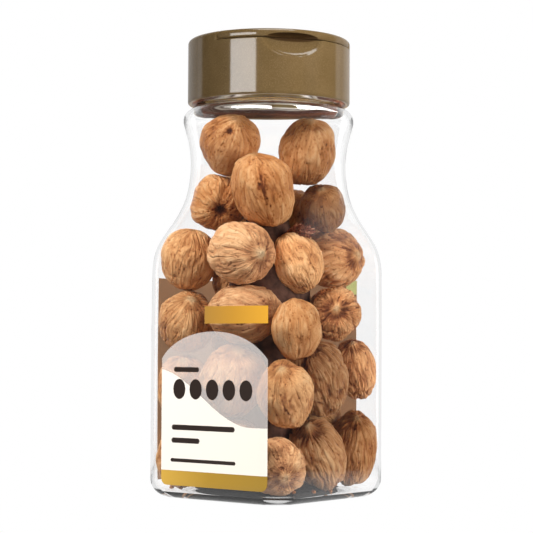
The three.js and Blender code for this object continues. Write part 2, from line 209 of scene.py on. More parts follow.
def jarSection(height):                  # half side and corner radius of the outside
    half = stationCurve(1, height)
    corner = stationCurve(2, height)
    rise = np.clip(jar["heel"] - np.maximum(0, height), 0, jar["heel"])
    inset = (half - jar["footHalf"]) * (1 - np.sqrt(1 - (rise / jar["heel"]) ** 2))
    return half - inset, corner - inset / 2


def sectionPoint(half, corner, share):   # share goes once round, from 0 to 1
    quarter = math.floor(share * 4 + 1e-9)
    rest = share * 4 - quarter
    bend = 1 - jar["flatShare"]
    turn = math.radians(90 * (quarter + min(1, rest / bend)))
    middle = math.radians(90 * quarter + 45)
    centre = (half - corner) * math.sqrt(2)
    x = centre * math.cos(middle) + corner * math.cos(turn)
    y = centre * math.sin(middle) + corner * math.sin(turn)
    slide = max(0, (rest - bend) / jar["flatShare"]) * 2 * (half - corner)
    return x - slide * math.sin(turn), y + slide * math.cos(turn)


def wallPoint(along, height, out):       # along goes round the wall from the middle of -Y to +X
    half, corner = (float(value) for value in jarSection(max(height, jar["heel"])))
    inset = half - float(jarSection(height)[0])
    flat = half - corner
    side = 2 * flat + corner * math.pi / 2
    turns = math.floor((along + flat) / side)
    rest = along + flat - turns * side
    angle = max(0, rest - 2 * flat) / corner
    x = min(rest, 2 * flat) - flat + (corner + out - inset) * math.sin(angle)
    y = -flat - (corner + out - inset) * math.cos(angle)
    turn = turns * math.pi / 2
    return Vector((
        mm(x * math.cos(turn) - y * math.sin(turn)),
        mm(x * math.sin(turn) + y * math.cos(turn)),
        mm(height),
    ))


camera = {
    "turn": 38.8,                        # degrees round the jar from the label side
    "distance": 534.5,
    "height": 47.9,
    "pitch": 2.675,                      # degrees up
    "roll": -0.36,
    "yaw": 0.024,
    "lens": 113.47,
}


def addCamera():
    place = mm(camera["distance"]) * outTo(camera["turn"]) + Vector((0, 0, mm(camera["height"])))
    aim = (math.radians(90 + camera["pitch"]), math.radians(camera["roll"]),
           math.radians(camera["turn"] + camera["yaw"]))
    bpy.ops.object.camera_add(location=place, rotation=aim)
    view = named("view_camera")
    view.data.lens = camera["lens"]
    view.data.clip_start = 0.01
    scene.camera = view


studio = {
    "white": 1.0,                        # seen straight and through the clear wall
    "throughWall": 1.1,                  # what stands behind the jar, which the four wall faces dim
    "mirroredBack": 0.85,                # the white sheet behind, seen in reflections
    "mirroredFront": 0.05,               # the dark room in front of the jar
    "mirrorStart": 0.24,                 # where the white sheet starts, as the cosine from straight behind
    "mirrorEnd": 0.5,
    "sheetRise": 0.62,                   # how far up and down the white sheet reaches
    "sheetFade": 0.15,
    "stripMiddle": 0.42,
    "stripHalf": 0.07,
    "stripFade": 0.05,
    "stripBright": 1.6,
    "stripRise": 0.5,                    # how far up and down the strip reaches
    "stripLevel": 0.05,
    "ambient": 0.14,                     # what the room gives to matt surfaces
    "floorHalf": 4.0,
    "floorNear": 0.0195,                 # metres from the middle: the painted shadow under the jar ends here
    "floorFar": 0.023,
    "floorShade": "#4a4340",
    "floorBounce": 0.5,                  # what the sheet gives back to matt surfaces, as a painted glow
    "footCorner": 0.8,                   # the shade's cut corners, as the square's side over the corner
    "ringFar": (0.07, 0.1),              # a painted reflection: the white sheet just round the jar, mirrored in the heel
    "ringBright": 0.75,
    "ringDepth": -0.06,                  # how far under the floor its mirror image of the room starts
}
roomLamps = {                            # degrees from the camera, metres from the middle line and up
    "softbox_left": {"turn": -48, "distance": 0.5, "height": 0.46, "size": (0.2, 0.26), "watts": 5.7,
                     "hiddenFrom": ("glossy", "transmission")},
    "softbox_right": {"turn": 60, "distance": 0.6, "height": 0.15, "size": (0.25, 0.5), "watts": 5.2,
                      "hiddenFrom": ("glossy", "transmission")},
    "sheet_behind": {"turn": 190, "distance": 0.6, "height": 0.3, "size": (0.7, 0.6), "watts": 5.0,
                     "hiddenFrom": ("glossy", "transmission")},
}
capLamps = {
    # kept so low that the cap's flat top doesn't mirror it
    "softbox_band": {"turn": -36, "distance": 0.5, "height": 0.02, "size": (0.33, 0.45), "watts": 6.2,
                     "aimHeight": 0.02, "hiddenFrom": ("diffuse", "transmission")},
    "softbox_rim": {"turn": 148, "distance": 0.6, "height": 0.15, "size": (0.36, 0.7), "watts": 0.2,
                    "hiddenFrom": ("diffuse", "transmission")},
    # light thrown back up by the white sheet, under the cap
    "sheet_bounce": {"turn": -12, "distance": 0.36, "height": 0.02, "size": (0.3, 0.03), "watts": 0.7,
                     "aimHeight": 0.13, "hiddenFrom": ("glossy", "transmission")},
    "softbox_front": {"turn": 18, "distance": 0.5, "height": 0.2, "size": (0.2, 0.26), "watts": 0.6,
                      "hiddenFrom": ("glossy", "transmission")},
    # over the cap: lights what faces up, its edges and the scoop
    "softbox_top": {"turn": 20, "distance": 0.13, "height": 0.6, "size": (0.3, 0.3), "watts": 2.8,
                    "aimHeight": 0.14, "hiddenFrom": ("transmission",)},
    # daylight that the clear neck lets into the cap
    "neck_daylight": {"turn": 0, "distance": 0, "height": 0.119, "size": (0.03, 0.03), "watts": 0.07,
                      "aimHeight": 0.2, "hiddenFrom": ("camera", "glossy", "transmission")},
}
neckShine = {                            # two small lamps close by, seen only as shine on the bead
    "distance": 0.041, "height": 0.145, "size": (0.038, 0.036), "watts": 0.11, "aimHeight": 0.145,
    "spread": 128, "hiddenFrom": ("diffuse", "camera", "transmission"),
}
neckTurns = (-23, 57)


def addLight(name, turn, distance, height, size, watts, hiddenFrom, aimHeight=0.075, spread=180):
    place = distance * outTo(camera["turn"] + turn) + Vector((0, 0, height))
    aim = (place - Vector((0, 0, aimHeight))).to_track_quat("Z", "Y").to_euler()
    bpy.ops.object.light_add(type="AREA", location=place, rotation=aim)
    lamp = bpy.context.object
    lamp.name = name
    lamp.data.shape = "RECTANGLE"
    lamp.data.size, lamp.data.size_y = size
    lamp.data.energy = watts
    lamp.data.spread = math.radians(spread)
    for ray in hiddenFrom:
        setattr(lamp, "visible_" + ray, False)
    return lamp


def lightOnly(lamp, pieces, state="INCLUDE"):   # a lamp set for some pieces alone, or kept off them
    group = bpy.data.collections.new(lamp.name + "_on")
    for piece in pieces:
        group.objects.link(piece)
    for entry in group.collection_objects:
        entry.light_linking.link_state = state
    lamp.light_linking.receiver_collection = group


def mirroredSheet(tree, way):            # what the wall mirrors: dark in front, a bright strip at the
    unit = addNode(tree, "VectorMath", {0: way}, operation="NORMALIZE")   # sheet's edges, and the sheet
    behind = addNode(tree, "VectorMath", {0: unit, 1: -outTo(camera["turn"])},
                     operation="DOT_PRODUCT").outputs["Value"]
    sheet = addNode(tree, "MapRange", {0: behind, 1: studio["mirrorStart"], 2: studio["mirrorEnd"],
                    3: studio["mirroredFront"], 4: studio["mirroredBack"]}, interpolation_type="SMOOTHSTEP")
    rise = addNode(tree, "SeparateXYZ", {0: unit}).outputs[2]
    steep = addNode(tree, "Math", {0: rise}, operation="ABSOLUTE")
    under = addNode(tree, "MapRange", {0: steep, 1: studio["sheetRise"] + studio["sheetFade"],
                    2: studio["sheetRise"]}, interpolation_type="SMOOTHSTEP")
    sheet = addNode(tree, "Math", {0: sheet, 1: under}, operation="MULTIPLY")
    off = addNode(tree, "Math", {0: behind, 1: studio["stripMiddle"]}, operation="SUBTRACT")
    apart = addNode(tree, "Math", {0: off}, operation="ABSOLUTE")
    strip = addNode(tree, "MapRange", {0: apart, 1: studio["stripHalf"] + studio["stripFade"],
                    2: studio["stripHalf"], 4: studio["stripBright"]}, interpolation_type="SMOOTHSTEP")
    level = addNode(tree, "MapRange", {0: steep, 1: studio["stripRise"], 2: studio["stripLevel"]},
                    interpolation_type="SMOOTHSTEP")
    upright = addNode(tree, "Math", {0: strip, 1: level}, operation="MULTIPLY")
    return addNode(tree, "Math", {0: sheet, 1: upright}, operation="MAXIMUM")


def makeRoom():                          # white where it is seen straight, and a lit sheet in reflections
    world = bpy.data.worlds.new("white_studio")
    scene.world = world
    world.use_nodes = True
    tree = world.node_tree
    tree.nodes.clear()
    path = addNode(tree, "LightPath").outputs
    mirrored = mirroredSheet(tree, addNode(tree, "TexCoord").outputs["Generated"])
    bounced = addNode(tree, "Math", {0: path["Diffuse Depth"], 1: path["Glossy Depth"]}, operation="ADD")
    direct = addNode(tree, "Math", {0: bounced, 1: 0.5}, operation="LESS_THAN")
    clean = addNode(tree, "Math", {0: path["Diffuse Depth"], 1: 0.5}, operation="LESS_THAN")
    low = addNode(tree, "Mix", {0: clean, 2: studio["ambient"], 3: mirrored})
    seen = addNode(tree, "Mix", {0: path["Is Transmission Ray"], 2: studio["white"],
                   3: studio["throughWall"]})
    strength = addNode(tree, "Mix", {0: direct, 2: low, 3: seen})
    back = addNode(tree, "Background", {"Color": (1, 1, 1, 1), "Strength": strength})
    addNode(tree, "OutputWorld", {"Surface": back})


def makeStudio():
    makeRoom()
    for name, values in roomLamps.items():
        addLight(name, **values)
    bpy.ops.mesh.primitive_plane_add(size=2 * studio["floorHalf"], location=(0, 0, mm(-0.1)))
    floor = named("pale_floor")
    floor.data.materials.append(floorMaterial())
    scene.view_settings.view_transform = "Standard"
    scene.cycles.max_bounces = 24
    scene.cycles.transmission_bounces = 20
    scene.cycles.transparent_max_bounces = 24
    scene.cycles.glossy_bounces = 8
    scene.cycles.diffuse_bounces = 4


def lightCap(jarPiece, capPieces):
    lightOnly(bpy.data.objects["softbox_left"], capPieces, "EXCLUDE")
    for name, values in capLamps.items():
        lightOnly(addLight(name, **values), capPieces)
    for index, turn in enumerate(neckTurns):
        lightOnly(addLight(f"neck_shine_{index}", turn, **neckShine), [jarPiece])


def floorMaterial():                     # white acrylic sheet that glows: fades into the white room round it, with a painted shadow under the jar, a painted glow for matt surfaces and a painted reflection of the room in mirrors
    material, tree = newMaterial("white_sheet")
    place = addNode(tree, "TexCoord").outputs["Object"]
    far = addNode(tree, "VectorMath", {0: place}, operation="LENGTH").outputs["Value"]
    size = addNode(tree, "VectorMath", {0: place}, operation="ABSOLUTE")
    apart = addNode(tree, "SeparateXYZ", {0: size}).outputs
    square = addNode(tree, "Math", {0: apart[0], 1: apart[1]}, operation="MAXIMUM")
    foot = addNode(tree, "Math", {0: far, 1: studio["footCorner"]}, operation="MULTIPLY")
    under = addNode(tree, "Math", {0: square, 1: foot}, operation="MAXIMUM")
    fade = addNode(tree, "MapRange", {0: under, 1: studio["floorNear"], 2: studio["floorFar"]},
                   interpolation_type="SMOOTHSTEP")
    path = addNode(tree, "LightPath").outputs
    bounced = addNode(tree, "Math", {0: path["Diffuse Depth"], 1: 0.5}, operation="GREATER_THAN")
    bright = addNode(tree, "Mix", {0: path["Is Transmission Ray"], 2: studio["white"],
                     3: studio["throughWall"]})
    level = addNode(tree, "Mix", {0: bounced, 2: bright, 3: studio["floorBounce"]})
    # painted shadow: a dark disc under the jar
    shaded = addNode(tree, "BsdfPrincipled", {"Base Color": colour(studio["floorShade"]), "Roughness": 0.9,
                     "Specular IOR Level": 0.1})
    white = addNode(tree, "Emission", {"Color": (1, 1, 1, 1), "Strength": level})
    sheet = addNode(tree, "MixShader", {0: fade, 1: shaded, 2: white})
    # painted reflection: in mirrored rays the floor glows with the room's sheet
    lower = addNode(tree, "VectorMath", {0: place, 1: (0, 0, studio["ringDepth"])})
    inner = addNode(tree, "MapRange", {0: under, 1: studio["floorNear"], 2: studio["floorFar"],
                    4: studio["ringBright"]}, interpolation_type="SMOOTHSTEP")
    ring = addNode(tree, "MapRange", {0: far, 1: studio["ringFar"][1], 2: studio["ringFar"][0]},
                   interpolation_type="SMOOTHSTEP")
    nearby = addNode(tree, "Math", {0: inner, 1: ring}, operation="MULTIPLY")
    paintedReflection = addNode(tree, "Math", {0: mirroredSheet(tree, lower), 1: nearby}, operation="MAXIMUM")
    lit = addNode(tree, "Emission", {"Color": (1, 1, 1, 1), "Strength": paintedReflection})
    inMirror = addNode(tree, "Math", {0: path["Glossy Depth"], 1: 0.5}, operation="GREATER_THAN")
    both = addNode(tree, "MixShader", {0: inMirror, 1: sheet, 2: lit})
    addNode(tree, "OutputMaterial", {"Surface": both})
    return material


petFinish = {
    "tint": "#fafaf9",                   # of the light that comes through
    "waveSpacing": 11,                   # mm
    "waveHeight": 0.25,
    "waveStrength": 0.12,
}


def petMaterial():                       # PET, stretch blown: clear, glossy, a trace of waviness
    material, tree = newMaterial("pet_stretch_blown_clear")
    wave = addNode(tree, "TexNoise", {"Vector": objectPlace(tree), "Scale": 1 / petFinish["waveSpacing"],
                   "Detail": 1, "Roughness": 0.55})
    wavy = addNode(tree, "Bump", {"Height": wave, "Strength": petFinish["waveStrength"],
                   "Distance": mm(petFinish["waveHeight"])})
    glass = addNode(tree, "BsdfPrincipled", {"Base Color": (1, 1, 1, 1), "Roughness": 0.0, "IOR": 1.5,
                    "Transmission Weight": 1.0, "Normal": wavy})
    clear = addNode(tree, "BsdfTransparent", {"Color": colour(petFinish["tint"])})
    shadow = addNode(tree, "LightPath").outputs["Is Shadow Ray"]
    mix = addNode(tree, "MixShader", {0: shadow, 1: glass, 2: clear})
    addNode(tree, "OutputMaterial", {"Surface": mix})
    return material


insidePaintedLight = {                            # the cap's inside: browner with painted warm bounce light low down, painted highlight rings in place of the neck's reflections, and painted shade higher up
    "radius": 24.5,
    "top": 133,
    "sway": 1.6,
    "swaySpacing": 11,
    "rings": [(124.5, "#2e1e16"), (125.3, "#3e2a20"), (126.1, "#643f31"), (127.4, "#301f1b"),
              (128.5, "#402b25"), (128.8, "#c8c4bc"), (129.2, "#b3ada4"), (129.5, "#42332d"),
              (129.8, "#ffffff"), (130.1, "#efeae2"), (130.4, "#86744c"), (131.1, "#4c3c2f"),
              (131.4, "#fbf6f0"), (131.8, "#d8d2ca"), (132.1, "#241b14"), (133.0, "#1e1610")],
}


def paintInsideLight(tree, place, base):
    # painted light: warm bounce, highlight rings and shade, drawn as rings of colour by height
    height = addNode(tree, "SeparateXYZ", {0: place}).outputs[2]
    inside = addNode(tree, "MapRange", {0: axisDistance(tree, place), 1: insidePaintedLight["radius"] + 0.2,
                     2: insidePaintedLight["radius"]})
    low = addNode(tree, "MapRange", {0: height, 1: insidePaintedLight["top"] + 0.5, 2: insidePaintedLight["top"]})
    both = addNode(tree, "Math", {0: inside, 1: low}, operation="MULTIPLY")
    wave = addNode(tree, "TexNoise", {"Vector": place, "Scale": 1 / insidePaintedLight["swaySpacing"], "Detail": 1,
                   "Roughness": 0.55})
    sway = addNode(tree, "Math", {0: wave, 1: insidePaintedLight["sway"], 2: height}, operation="MULTIPLY_ADD")
    first, last = insidePaintedLight["rings"][0][0], insidePaintedLight["rings"][-1][0]
    middle = insidePaintedLight["sway"] / 2
    up = addNode(tree, "MapRange", {0: sway, 1: first + middle, 2: last + middle})
    stops = [((ring - first) / (last - first), tint) for ring, tint in insidePaintedLight["rings"]]
    rings = addNode(tree, "ValToRGB", {0: up}, stops)
    return addNode(tree, "Mix", {0: both, 6: base, 7: rings}, data_type="RGBA").outputs[2]


def paintHoldShade(tree, place, base):       # painted shade: the deep hold under the flap's edge is drawn darker
    middle = cap["radius"] * outTo(flap["scoopTurn"])
    middle.z = cap["top"] - flap["thickness"]
    across = addNode(tree, "Mapping", {"Vector": place, "Location": middle,
                     "Rotation": (0, 0, math.radians(flap["scoopTurn"])), "Scale": (
                     flap["scoopHalfWidth"], flap["undercutDepth"], flap["undercutHeight"])},
                     vector_type="TEXTURE")
    reach = addNode(tree, "VectorMath", {0: across}, operation="LENGTH").outputs["Value"]
    hold = addNode(tree, "MapRange", {0: reach, 1: 1.2, 2: 1.05, 4: flap["holdShade"]})
    inside = addNode(tree, "MapRange", {0: axisDistance(tree, place), 1: cap["radius"] - 0.05,
                     2: cap["radius"] - 0.5})
    both = addNode(tree, "Math", {0: hold, 1: inside}, operation="MULTIPLY")
    return addNode(tree, "Mix", {0: both, 6: base, 7: colour(flap["holdShadeColour"])},
                   data_type="RGBA").outputs[2]


bronzeFinish = {
    "flakeSpacing": 0.3,                 # mm, pearl flakes drawn as coarse as they need to show
    "flakes": [(0.32, "#523f26"), (0.52, "#5f4c2f"), (0.72, "#796647")],
    "cloudSpacing": 9,
    "clouds": [(0.35, "#574426"), (0.65, "#634f31")],
    "cloudShare": 0.45,
    "grainHeight": 0.05,
    "matt": [(0.32, "#523f26"), (0.72, "#6e5b3d")],
}


def bronzeMaterial():                    # polypropylene with pearl pigment, injection moulded
    material, tree = newMaterial("polypropylene_bronze_pearl")
    place = objectPlace(tree)
    flake = addNode(tree, "TexNoise", {"Vector": place, "Scale": 1 / bronzeFinish["flakeSpacing"],
                    "Detail": 2, "Roughness": 0.7})
    cloud = addNode(tree, "TexNoise", {"Vector": place, "Scale": 1 / bronzeFinish["cloudSpacing"],
                    "Detail": 2, "Roughness": 0.55})
    body = addNode(tree, "ValToRGB", {0: flake}, bronzeFinish["flakes"])
    shade = addNode(tree, "ValToRGB", {0: cloud}, bronzeFinish["clouds"])
    base = addNode(tree, "Mix", {0: bronzeFinish["cloudShare"], 6: body, 7: shade}, data_type="RGBA")
    # painted light: the inside rings and the finger hold's shade go into the cap's colour
    withPaintedShade = paintHoldShade(tree, place, paintInsideLight(tree, place, base.outputs[2]))
    grain = addNode(tree, "Bump", {"Height": flake, "Strength": 0.05,
                    "Distance": mm(bronzeFinish["grainHeight"])})
    shader = addNode(tree, "BsdfPrincipled", {"Base Color": withPaintedShade, "Roughness": 0.42, "Metallic": 0.0,
                     "Specular IOR Level": 0.03, "Coat Weight": 0.4, "Coat Roughness": 0.09,
                     "Coat IOR": 1.7, "Normal": grain})
    addNode(tree, "OutputMaterial", {"Surface": shader})
    return material


def mattTopMaterial():                   # the flat top is eroded in the mould, so it has no gloss
    material, tree = newMaterial("polypropylene_bronze_matt")
    flake = addNode(tree, "TexNoise", {"Vector": objectPlace(tree),
                    "Scale": 1 / bronzeFinish["flakeSpacing"], "Detail": 2, "Roughness": 0.7})
    base = addNode(tree, "ValToRGB", {0: flake}, bronzeFinish["matt"])
    shader = addNode(tree, "BsdfPrincipled", {"Base Color": base, "Roughness": 0.7,
                     "Specular IOR Level": 0.03})
    addNode(tree, "OutputMaterial", {"Surface": shader})
    return material


filmFinish = {
    "acrossFrom": -19,                   # mm, where the painted shading across the jar starts
    "acrossTo": 23,
    "mottleSpacing": 1.3,
    "mottle": 0.06,
    "veilCover": 0.29,                   # how much of the dome's light the white ink stops
    "veilShadow": 0.05,
}


def filmShader(tree, colours, acrossFrom=filmFinish["acrossFrom"], acrossTo=filmFinish["acrossTo"]):
    place = objectPlace(tree)
    # painted shading and sheen: the colour steps from left to right across the jar
    across = addNode(tree, "SeparateXYZ", {0: place}).outputs[0]
    share = addNode(tree, "MapRange", {0: across, 1: acrossFrom, 2: acrossTo})
    mottle = addNode(tree, "TexNoise", {"Vector": place, "Scale": 1 / filmFinish["mottleSpacing"],
                     "Detail": 2, "Roughness": 0.55})
    factor = addNode(tree, "Math", {0: mottle, 1: filmFinish["mottle"], 2: share},
                     operation="MULTIPLY_ADD")
    stops = [(index / (len(colours) - 1), tint) for index, tint in enumerate(colours)]
    base = addNode(tree, "ValToRGB", {0: factor}, stops)
    return addNode(tree, "BsdfPrincipled", {"Base Color": base, "Roughness": 0.42, "IOR": 1.49})


def filmMaterial(name, colours, *span):
    # printed polypropylene film: even colour with a soft sheen, and painted shading and sheen from left to
    # right
    material, tree = newMaterial(name)
    addNode(tree, "OutputMaterial", {"Surface": filmShader(tree, colours, *span)})
    return material


def veilMaterial():                      # thin white ink on clear film: milky, the nutmegs show through
    material, tree = newMaterial("white_ink_on_clear_film")
    ink = filmShader(tree, ["#dcd6d2", "#d6d0cc"])
    clear = addNode(tree, "BsdfTransparent", {"Color": (1, 1, 1, 1)})
    shadow = addNode(tree, "LightPath").outputs["Is Shadow Ray"]
    cover = addNode(tree, "MapRange", {0: shadow, 3: filmFinish["veilCover"], 4: filmFinish["veilShadow"]})
    mix = addNode(tree, "MixShader", {0: cover, 1: clear, 2: ink})
    addNode(tree, "OutputMaterial", {"Surface": mix})
    return material


def paintedGlowFilm(name, colours, glow, strength):   # the label's inner side, with a painted glow in place of the light through the film
    material, tree = newMaterial(name)
    shader = filmShader(tree, colours, -30, 30)
    shader.inputs["Emission Color"].default_value = colour(glow)
    shader.inputs["Emission Strength"].default_value = strength
    addNode(tree, "OutputMaterial", {"Surface": shader})
    return material


def heapShadeMaterial():                      # painted shade: the dark between the nutmegs, darkest at the jar's floor
    material, tree = newMaterial("nutmeg_heap_painted_shade")
    place = objectPlace(tree)
    shadeMottle = addNode(tree, "TexNoise", {"Vector": place, "Scale": 1 / 3, "Detail": 3, "Roughness": 0.55})
    base = addNode(tree, "ValToRGB", {0: shadeMottle}, [(0.3, "#3d2a24"), (0.7, "#6a4c40")])
    # darkest at the floor: painted shade
    height = addNode(tree, "SeparateXYZ", {0: place}).outputs[2]
    foot = addNode(tree, "MapRange", {0: height, 1: 4.0, 2: 3.0})
    low = addNode(tree, "Mix", {0: foot, 6: base, 7: colour("#232224")}, data_type="RGBA").outputs[2]
    shader = addNode(tree, "BsdfPrincipled", {"Base Color": low, "Roughness": 0.95})
    addNode(tree, "OutputMaterial", {"Surface": shader})
    return material


kernelFinish = {                         # spacings in mm
    "colours": [(0.0, "#efc594"), (0.27, "#d89f6a"), (0.48, "#b97a48"), (0.7, "#7f4627"), (1.0, "#3a1d15")],
    "lighter": 0.18,
    "mottleSpacing": 4.5,
    "mottleShare": 0.36,
    "grainSpacing": 0.4,
    "grainHeight": 0.3,
    "streakSpacing": 1.3,                # between the fine fibres
    "streakAlong": 0.2,                  # how slowly they change along the kernel
    "streakShare": 0.11,
    "creaseSpacing": 2.5,                # between the fine creases
    "creaseAlong": 0.17,
    "creaseWidth": 0.09,
    "creaseShare": -0.07,
    "creaseHeight": 0.6,
    "swingSpacing": 6,                   # the creases swing from side to side
    "swing": 2.2,
    "height": 0.34,                      # mm, of all that is embossed
}


def kernelMaterial(name, warmth, vivid):   # dried nutmeg kernel: woody, dusty on the ridges, a faint sheen
    material, tree = newMaterial(name)
    look = kernelFinish
    skin = addNode(tree, "Attribute", attribute_name="skin").outputs["Vector"]
    fibre = addNode(tree, "Attribute", attribute_name="fibre").outputs["Vector"]
    depth = addNode(tree, "Attribute", attribute_name="furrow").outputs["Fac"]
    tone = addNode(tree, "Attribute", attribute_name="tone").outputs["Fac"]
    mottle = addNode(tree, "TexNoise", {"Vector": skin, "Scale": 1 / look["mottleSpacing"], "Detail": 4,
                     "Roughness": 0.6})
    grain = addNode(tree, "TexNoise", {"Vector": skin, "Scale": 1 / look["grainSpacing"], "Detail": 3,
                    "Roughness": 0.65})
    drawn = addNode(tree, "VectorMath", {0: fibre, 1: (1, 1, look["streakAlong"])}, operation="MULTIPLY")
    streak = addNode(tree, "TexNoise", {"Vector": drawn, "Scale": 1 / look["streakSpacing"], "Detail": 4,
                     "Roughness": 0.62})
    swing = addNode(tree, "TexNoise", {"Vector": skin, "Scale": 1 / look["swingSpacing"], "Detail": 1})
    drift = addNode(tree, "VectorMath", {0: swing.outputs["Color"], 1: (look["swing"],) * 3},
                    operation="MULTIPLY")
    swung = addNode(tree, "VectorMath", {0: fibre, 1: drift}, operation="ADD")
    longer = addNode(tree, "VectorMath", {0: swung, 1: (1, 1, look["creaseAlong"])}, operation="MULTIPLY")
    waved = addNode(tree, "TexNoise", {"Vector": longer, "Scale": 1 / look["creaseSpacing"], "Detail": 2,
                    "Roughness": 0.5})
    middle = addNode(tree, "Math", {0: waved, 1: 0.5}, operation="SUBTRACT")
    apart = addNode(tree, "Math", {0: middle}, operation="ABSOLUTE")
    crease = addNode(tree, "MapRange", {0: apart, 2: look["creaseWidth"]}, interpolation_type="SMOOTHSTEP")
    shade = depth
    for pattern, share in ((mottle, "mottleShare"), (streak, "streakShare"), (crease, "creaseShare")):
        shade = addNode(tree, "Math", {0: pattern, 1: look[share], 2: shade}, operation="MULTIPLY_ADD")
    shade = addNode(tree, "Math", {0: shade, 1: look["lighter"]}, operation="SUBTRACT")
    skinColour = addNode(tree, "ValToRGB", {0: shade}, look["colours"])
    toned = addNode(tree, "HueSaturation", {"Color": skinColour, "Hue": 0.5 + warmth,
                    "Saturation": vivid, "Value": tone})
    height = addNode(tree, "Math", {0: grain, 1: look["grainHeight"], 2: streak}, operation="MULTIPLY_ADD")
    height = addNode(tree, "Math", {0: crease, 1: look["creaseHeight"], 2: height},
                     operation="MULTIPLY_ADD")
    rough = addNode(tree, "Bump", {"Height": height, "Strength": 1.0, "Distance": mm(look["height"])})
    shader = addNode(tree, "BsdfPrincipled", {"Base Color": toned, "Roughness": 0.46,
                     "Specular IOR Level": 0.45, "Normal": rough})
    addNode(tree, "OutputMaterial", {"Surface": shader})
    return material


def bitMaterial(name, dark, middle, light):   # broken dried husk or kernel, matt
    material, tree = newMaterial(name)
    place = objectPlace(tree)
    speckle = addNode(tree, "TexNoise", {"Vector": place, "Scale": 1 / 0.9, "Detail": 3,
                      "Roughness": 0.55})
    base = addNode(tree, "ValToRGB", {0: speckle}, [(0.3, dark), (0.5, middle), (0.75, light)])
    grain = addNode(tree, "TexNoise", {"Vector": place, "Scale": 1 / 0.5, "Detail": 2, "Roughness": 0.55})
    rough = addNode(tree, "Bump", {"Height": grain, "Strength": 0.6, "Distance": mm(0.3)})
    shader = addNode(tree, "BsdfPrincipled", {"Base Color": base, "Roughness": 0.6, "Normal": rough})
    addNode(tree, "OutputMaterial", {"Surface": shader})
    return material


def stack(name, sides, layers):
    # a disc pulled up layer by layer, one millimetre each, ready to be laid on real sections
    deselectAll()
    bpy.ops.mesh.primitive_circle_add(vertices=sides, radius=mm(10), fill_type="NGON")
    piece = named(name)
    bpy.ops.object.mode_set(mode="EDIT")
    bpy.ops.mesh.select_mode(type="FACE")
    bpy.ops.mesh.select_all(action="SELECT")
    for _ in range(layers - 1):
        bpy.ops.mesh.extrude_region_move(TRANSFORM_OT_translate={"value": (0, 0, mm(1))})
    bpy.ops.object.mode_set(mode="OBJECT")
    return piece


def layOnSections(piece, sides, sections):
    for vertex in piece.data.vertices:
        layer = round(vertex.co.z * 1000)
        share = (math.atan2(vertex.co.y, vertex.co.x) / (2 * math.pi)) % 1
        share = round(share * sides) / sides % 1
        half, corner, height = sections[layer]
        x, y = sectionPoint(half, corner, share)
        vertex.co = (mm(x), mm(y), mm(height))
    piece.data.update()


def jarSections():                       # from the base's middle, up outside, over the lip and down inside
    foot, footCorner = jar["footInnerHalf"], float(jarSection(0)[1])
    outerHeights = [0.25, 0.6, 1.1, 1.7, 2.5, 3.4, 4.4, jar["heel"], 12, 24, 38, 52, 64, 70]
    outerHeights += list(np.arange(72, 118, 1.6)) + list(np.arange(118, 124.1, 0.5))
    sections = [(8, 5, 1.2), (13, 8, 1.1)]
    for share in np.linspace(0, 1, 6):   # the pushed-up middle of the base, then the foot
        sections.append((foot - 3 + 3 * share, footCorner - 3 + share, jar["pushUp"] * (1 - share ** 2)))
    sections.append((foot + 0.9, footCorner - 1.6, 0.0))
    for height in outerHeights:
        half, corner = (float(value) for value in jarSection(height))
        sections.append((half, corner, height))
    neck, top = jar["neckRadius"], jar["neckTop"]
    corner = neck - 0.2
    sections += [(neck + 0.15, corner, 124.8), (neck, corner, 125.6), (neck, corner, 132),
                 (neck, corner, top - 0.3), (neck - 0.3, corner - 0.3, top), (neck - 0.6, corner - 0.6, top)]
    bore, boreCorner = neck - jar["neckWall"], corner - jar["neckWall"]
    sections += [(bore, boreCorner, height) for height in (top - 0.3, 130, 125.4)]
    for height in reversed([h for h in outerHeights if h > jar["floor"]]):
        half, corner = (float(value) for value in jarSection(height))
        wall = float(stationCurve(3, height))
        thicker = wall + jar["heelExtra"] * max(0, 1 - height / jar["heelExtraTop"])
        sections.append((half - thicker, corner - wall, max(height, jar["floorEdge"])))
    sections += [(foot + 1, footCorner - 2, jar["floor"]), (16, 10, 2.0), (8, 5, 2.15)]
    return sections


def makeJar():
    sections = jarSections()
    piece = stack("jar_wall", jar["sides"], len(sections))
    layOnSections(piece, jar["sides"], sections)
    outwardNormals(piece)
    smooth(piece, 50)
    dress(piece, petMaterial(), "jar_body", "clear_plastic", "jar")
    return piece


cap = {
    "radius": 25.85,
    "bottom": 124.5,
    "top": 144.7,
    "edge": 1.2,
    "boreRadius": 23.6,
    "lipRadius": 24.4,
    "lipDepth": 2.2,
    "plate": 4.3,
    "gateLine": 131.8,                   # height of the faint ring that the mould leaves
    "gateDepth": 0.015,
    "gateWidth": 0.7,
    "sides": 192,
    "cutterSides": 128,
}
flap = {
    "turn": 58,                          # degrees that the flap faces, from the label side
    "seatLine": 13.0,                    # where the cap's own top ends
    "hinge": 14.0,                       # where the flap starts
    "thickness": 2.6,
    "gap": 0.3,
    "mouthStart": 14.6,
    "mouthRadius": 21.6,
    "mouthCorner": 2.2,
    "scoopTurn": 56,
    "scoopHalfWidth": 9.6,
    "scoopHeight": 6.1,
    "scoopDepth": 2.0,
    "undercutHeight": 1.3,
    "undercutDepth": 3.2,
    "holdShadeColour": "#2e1c0c",             # painted shade in that finger hold
    "holdShade": 0.85,
    "plugRadius": 20.9,
    "plugDepth": 1.1,
    "plugWall": 0.9,
}


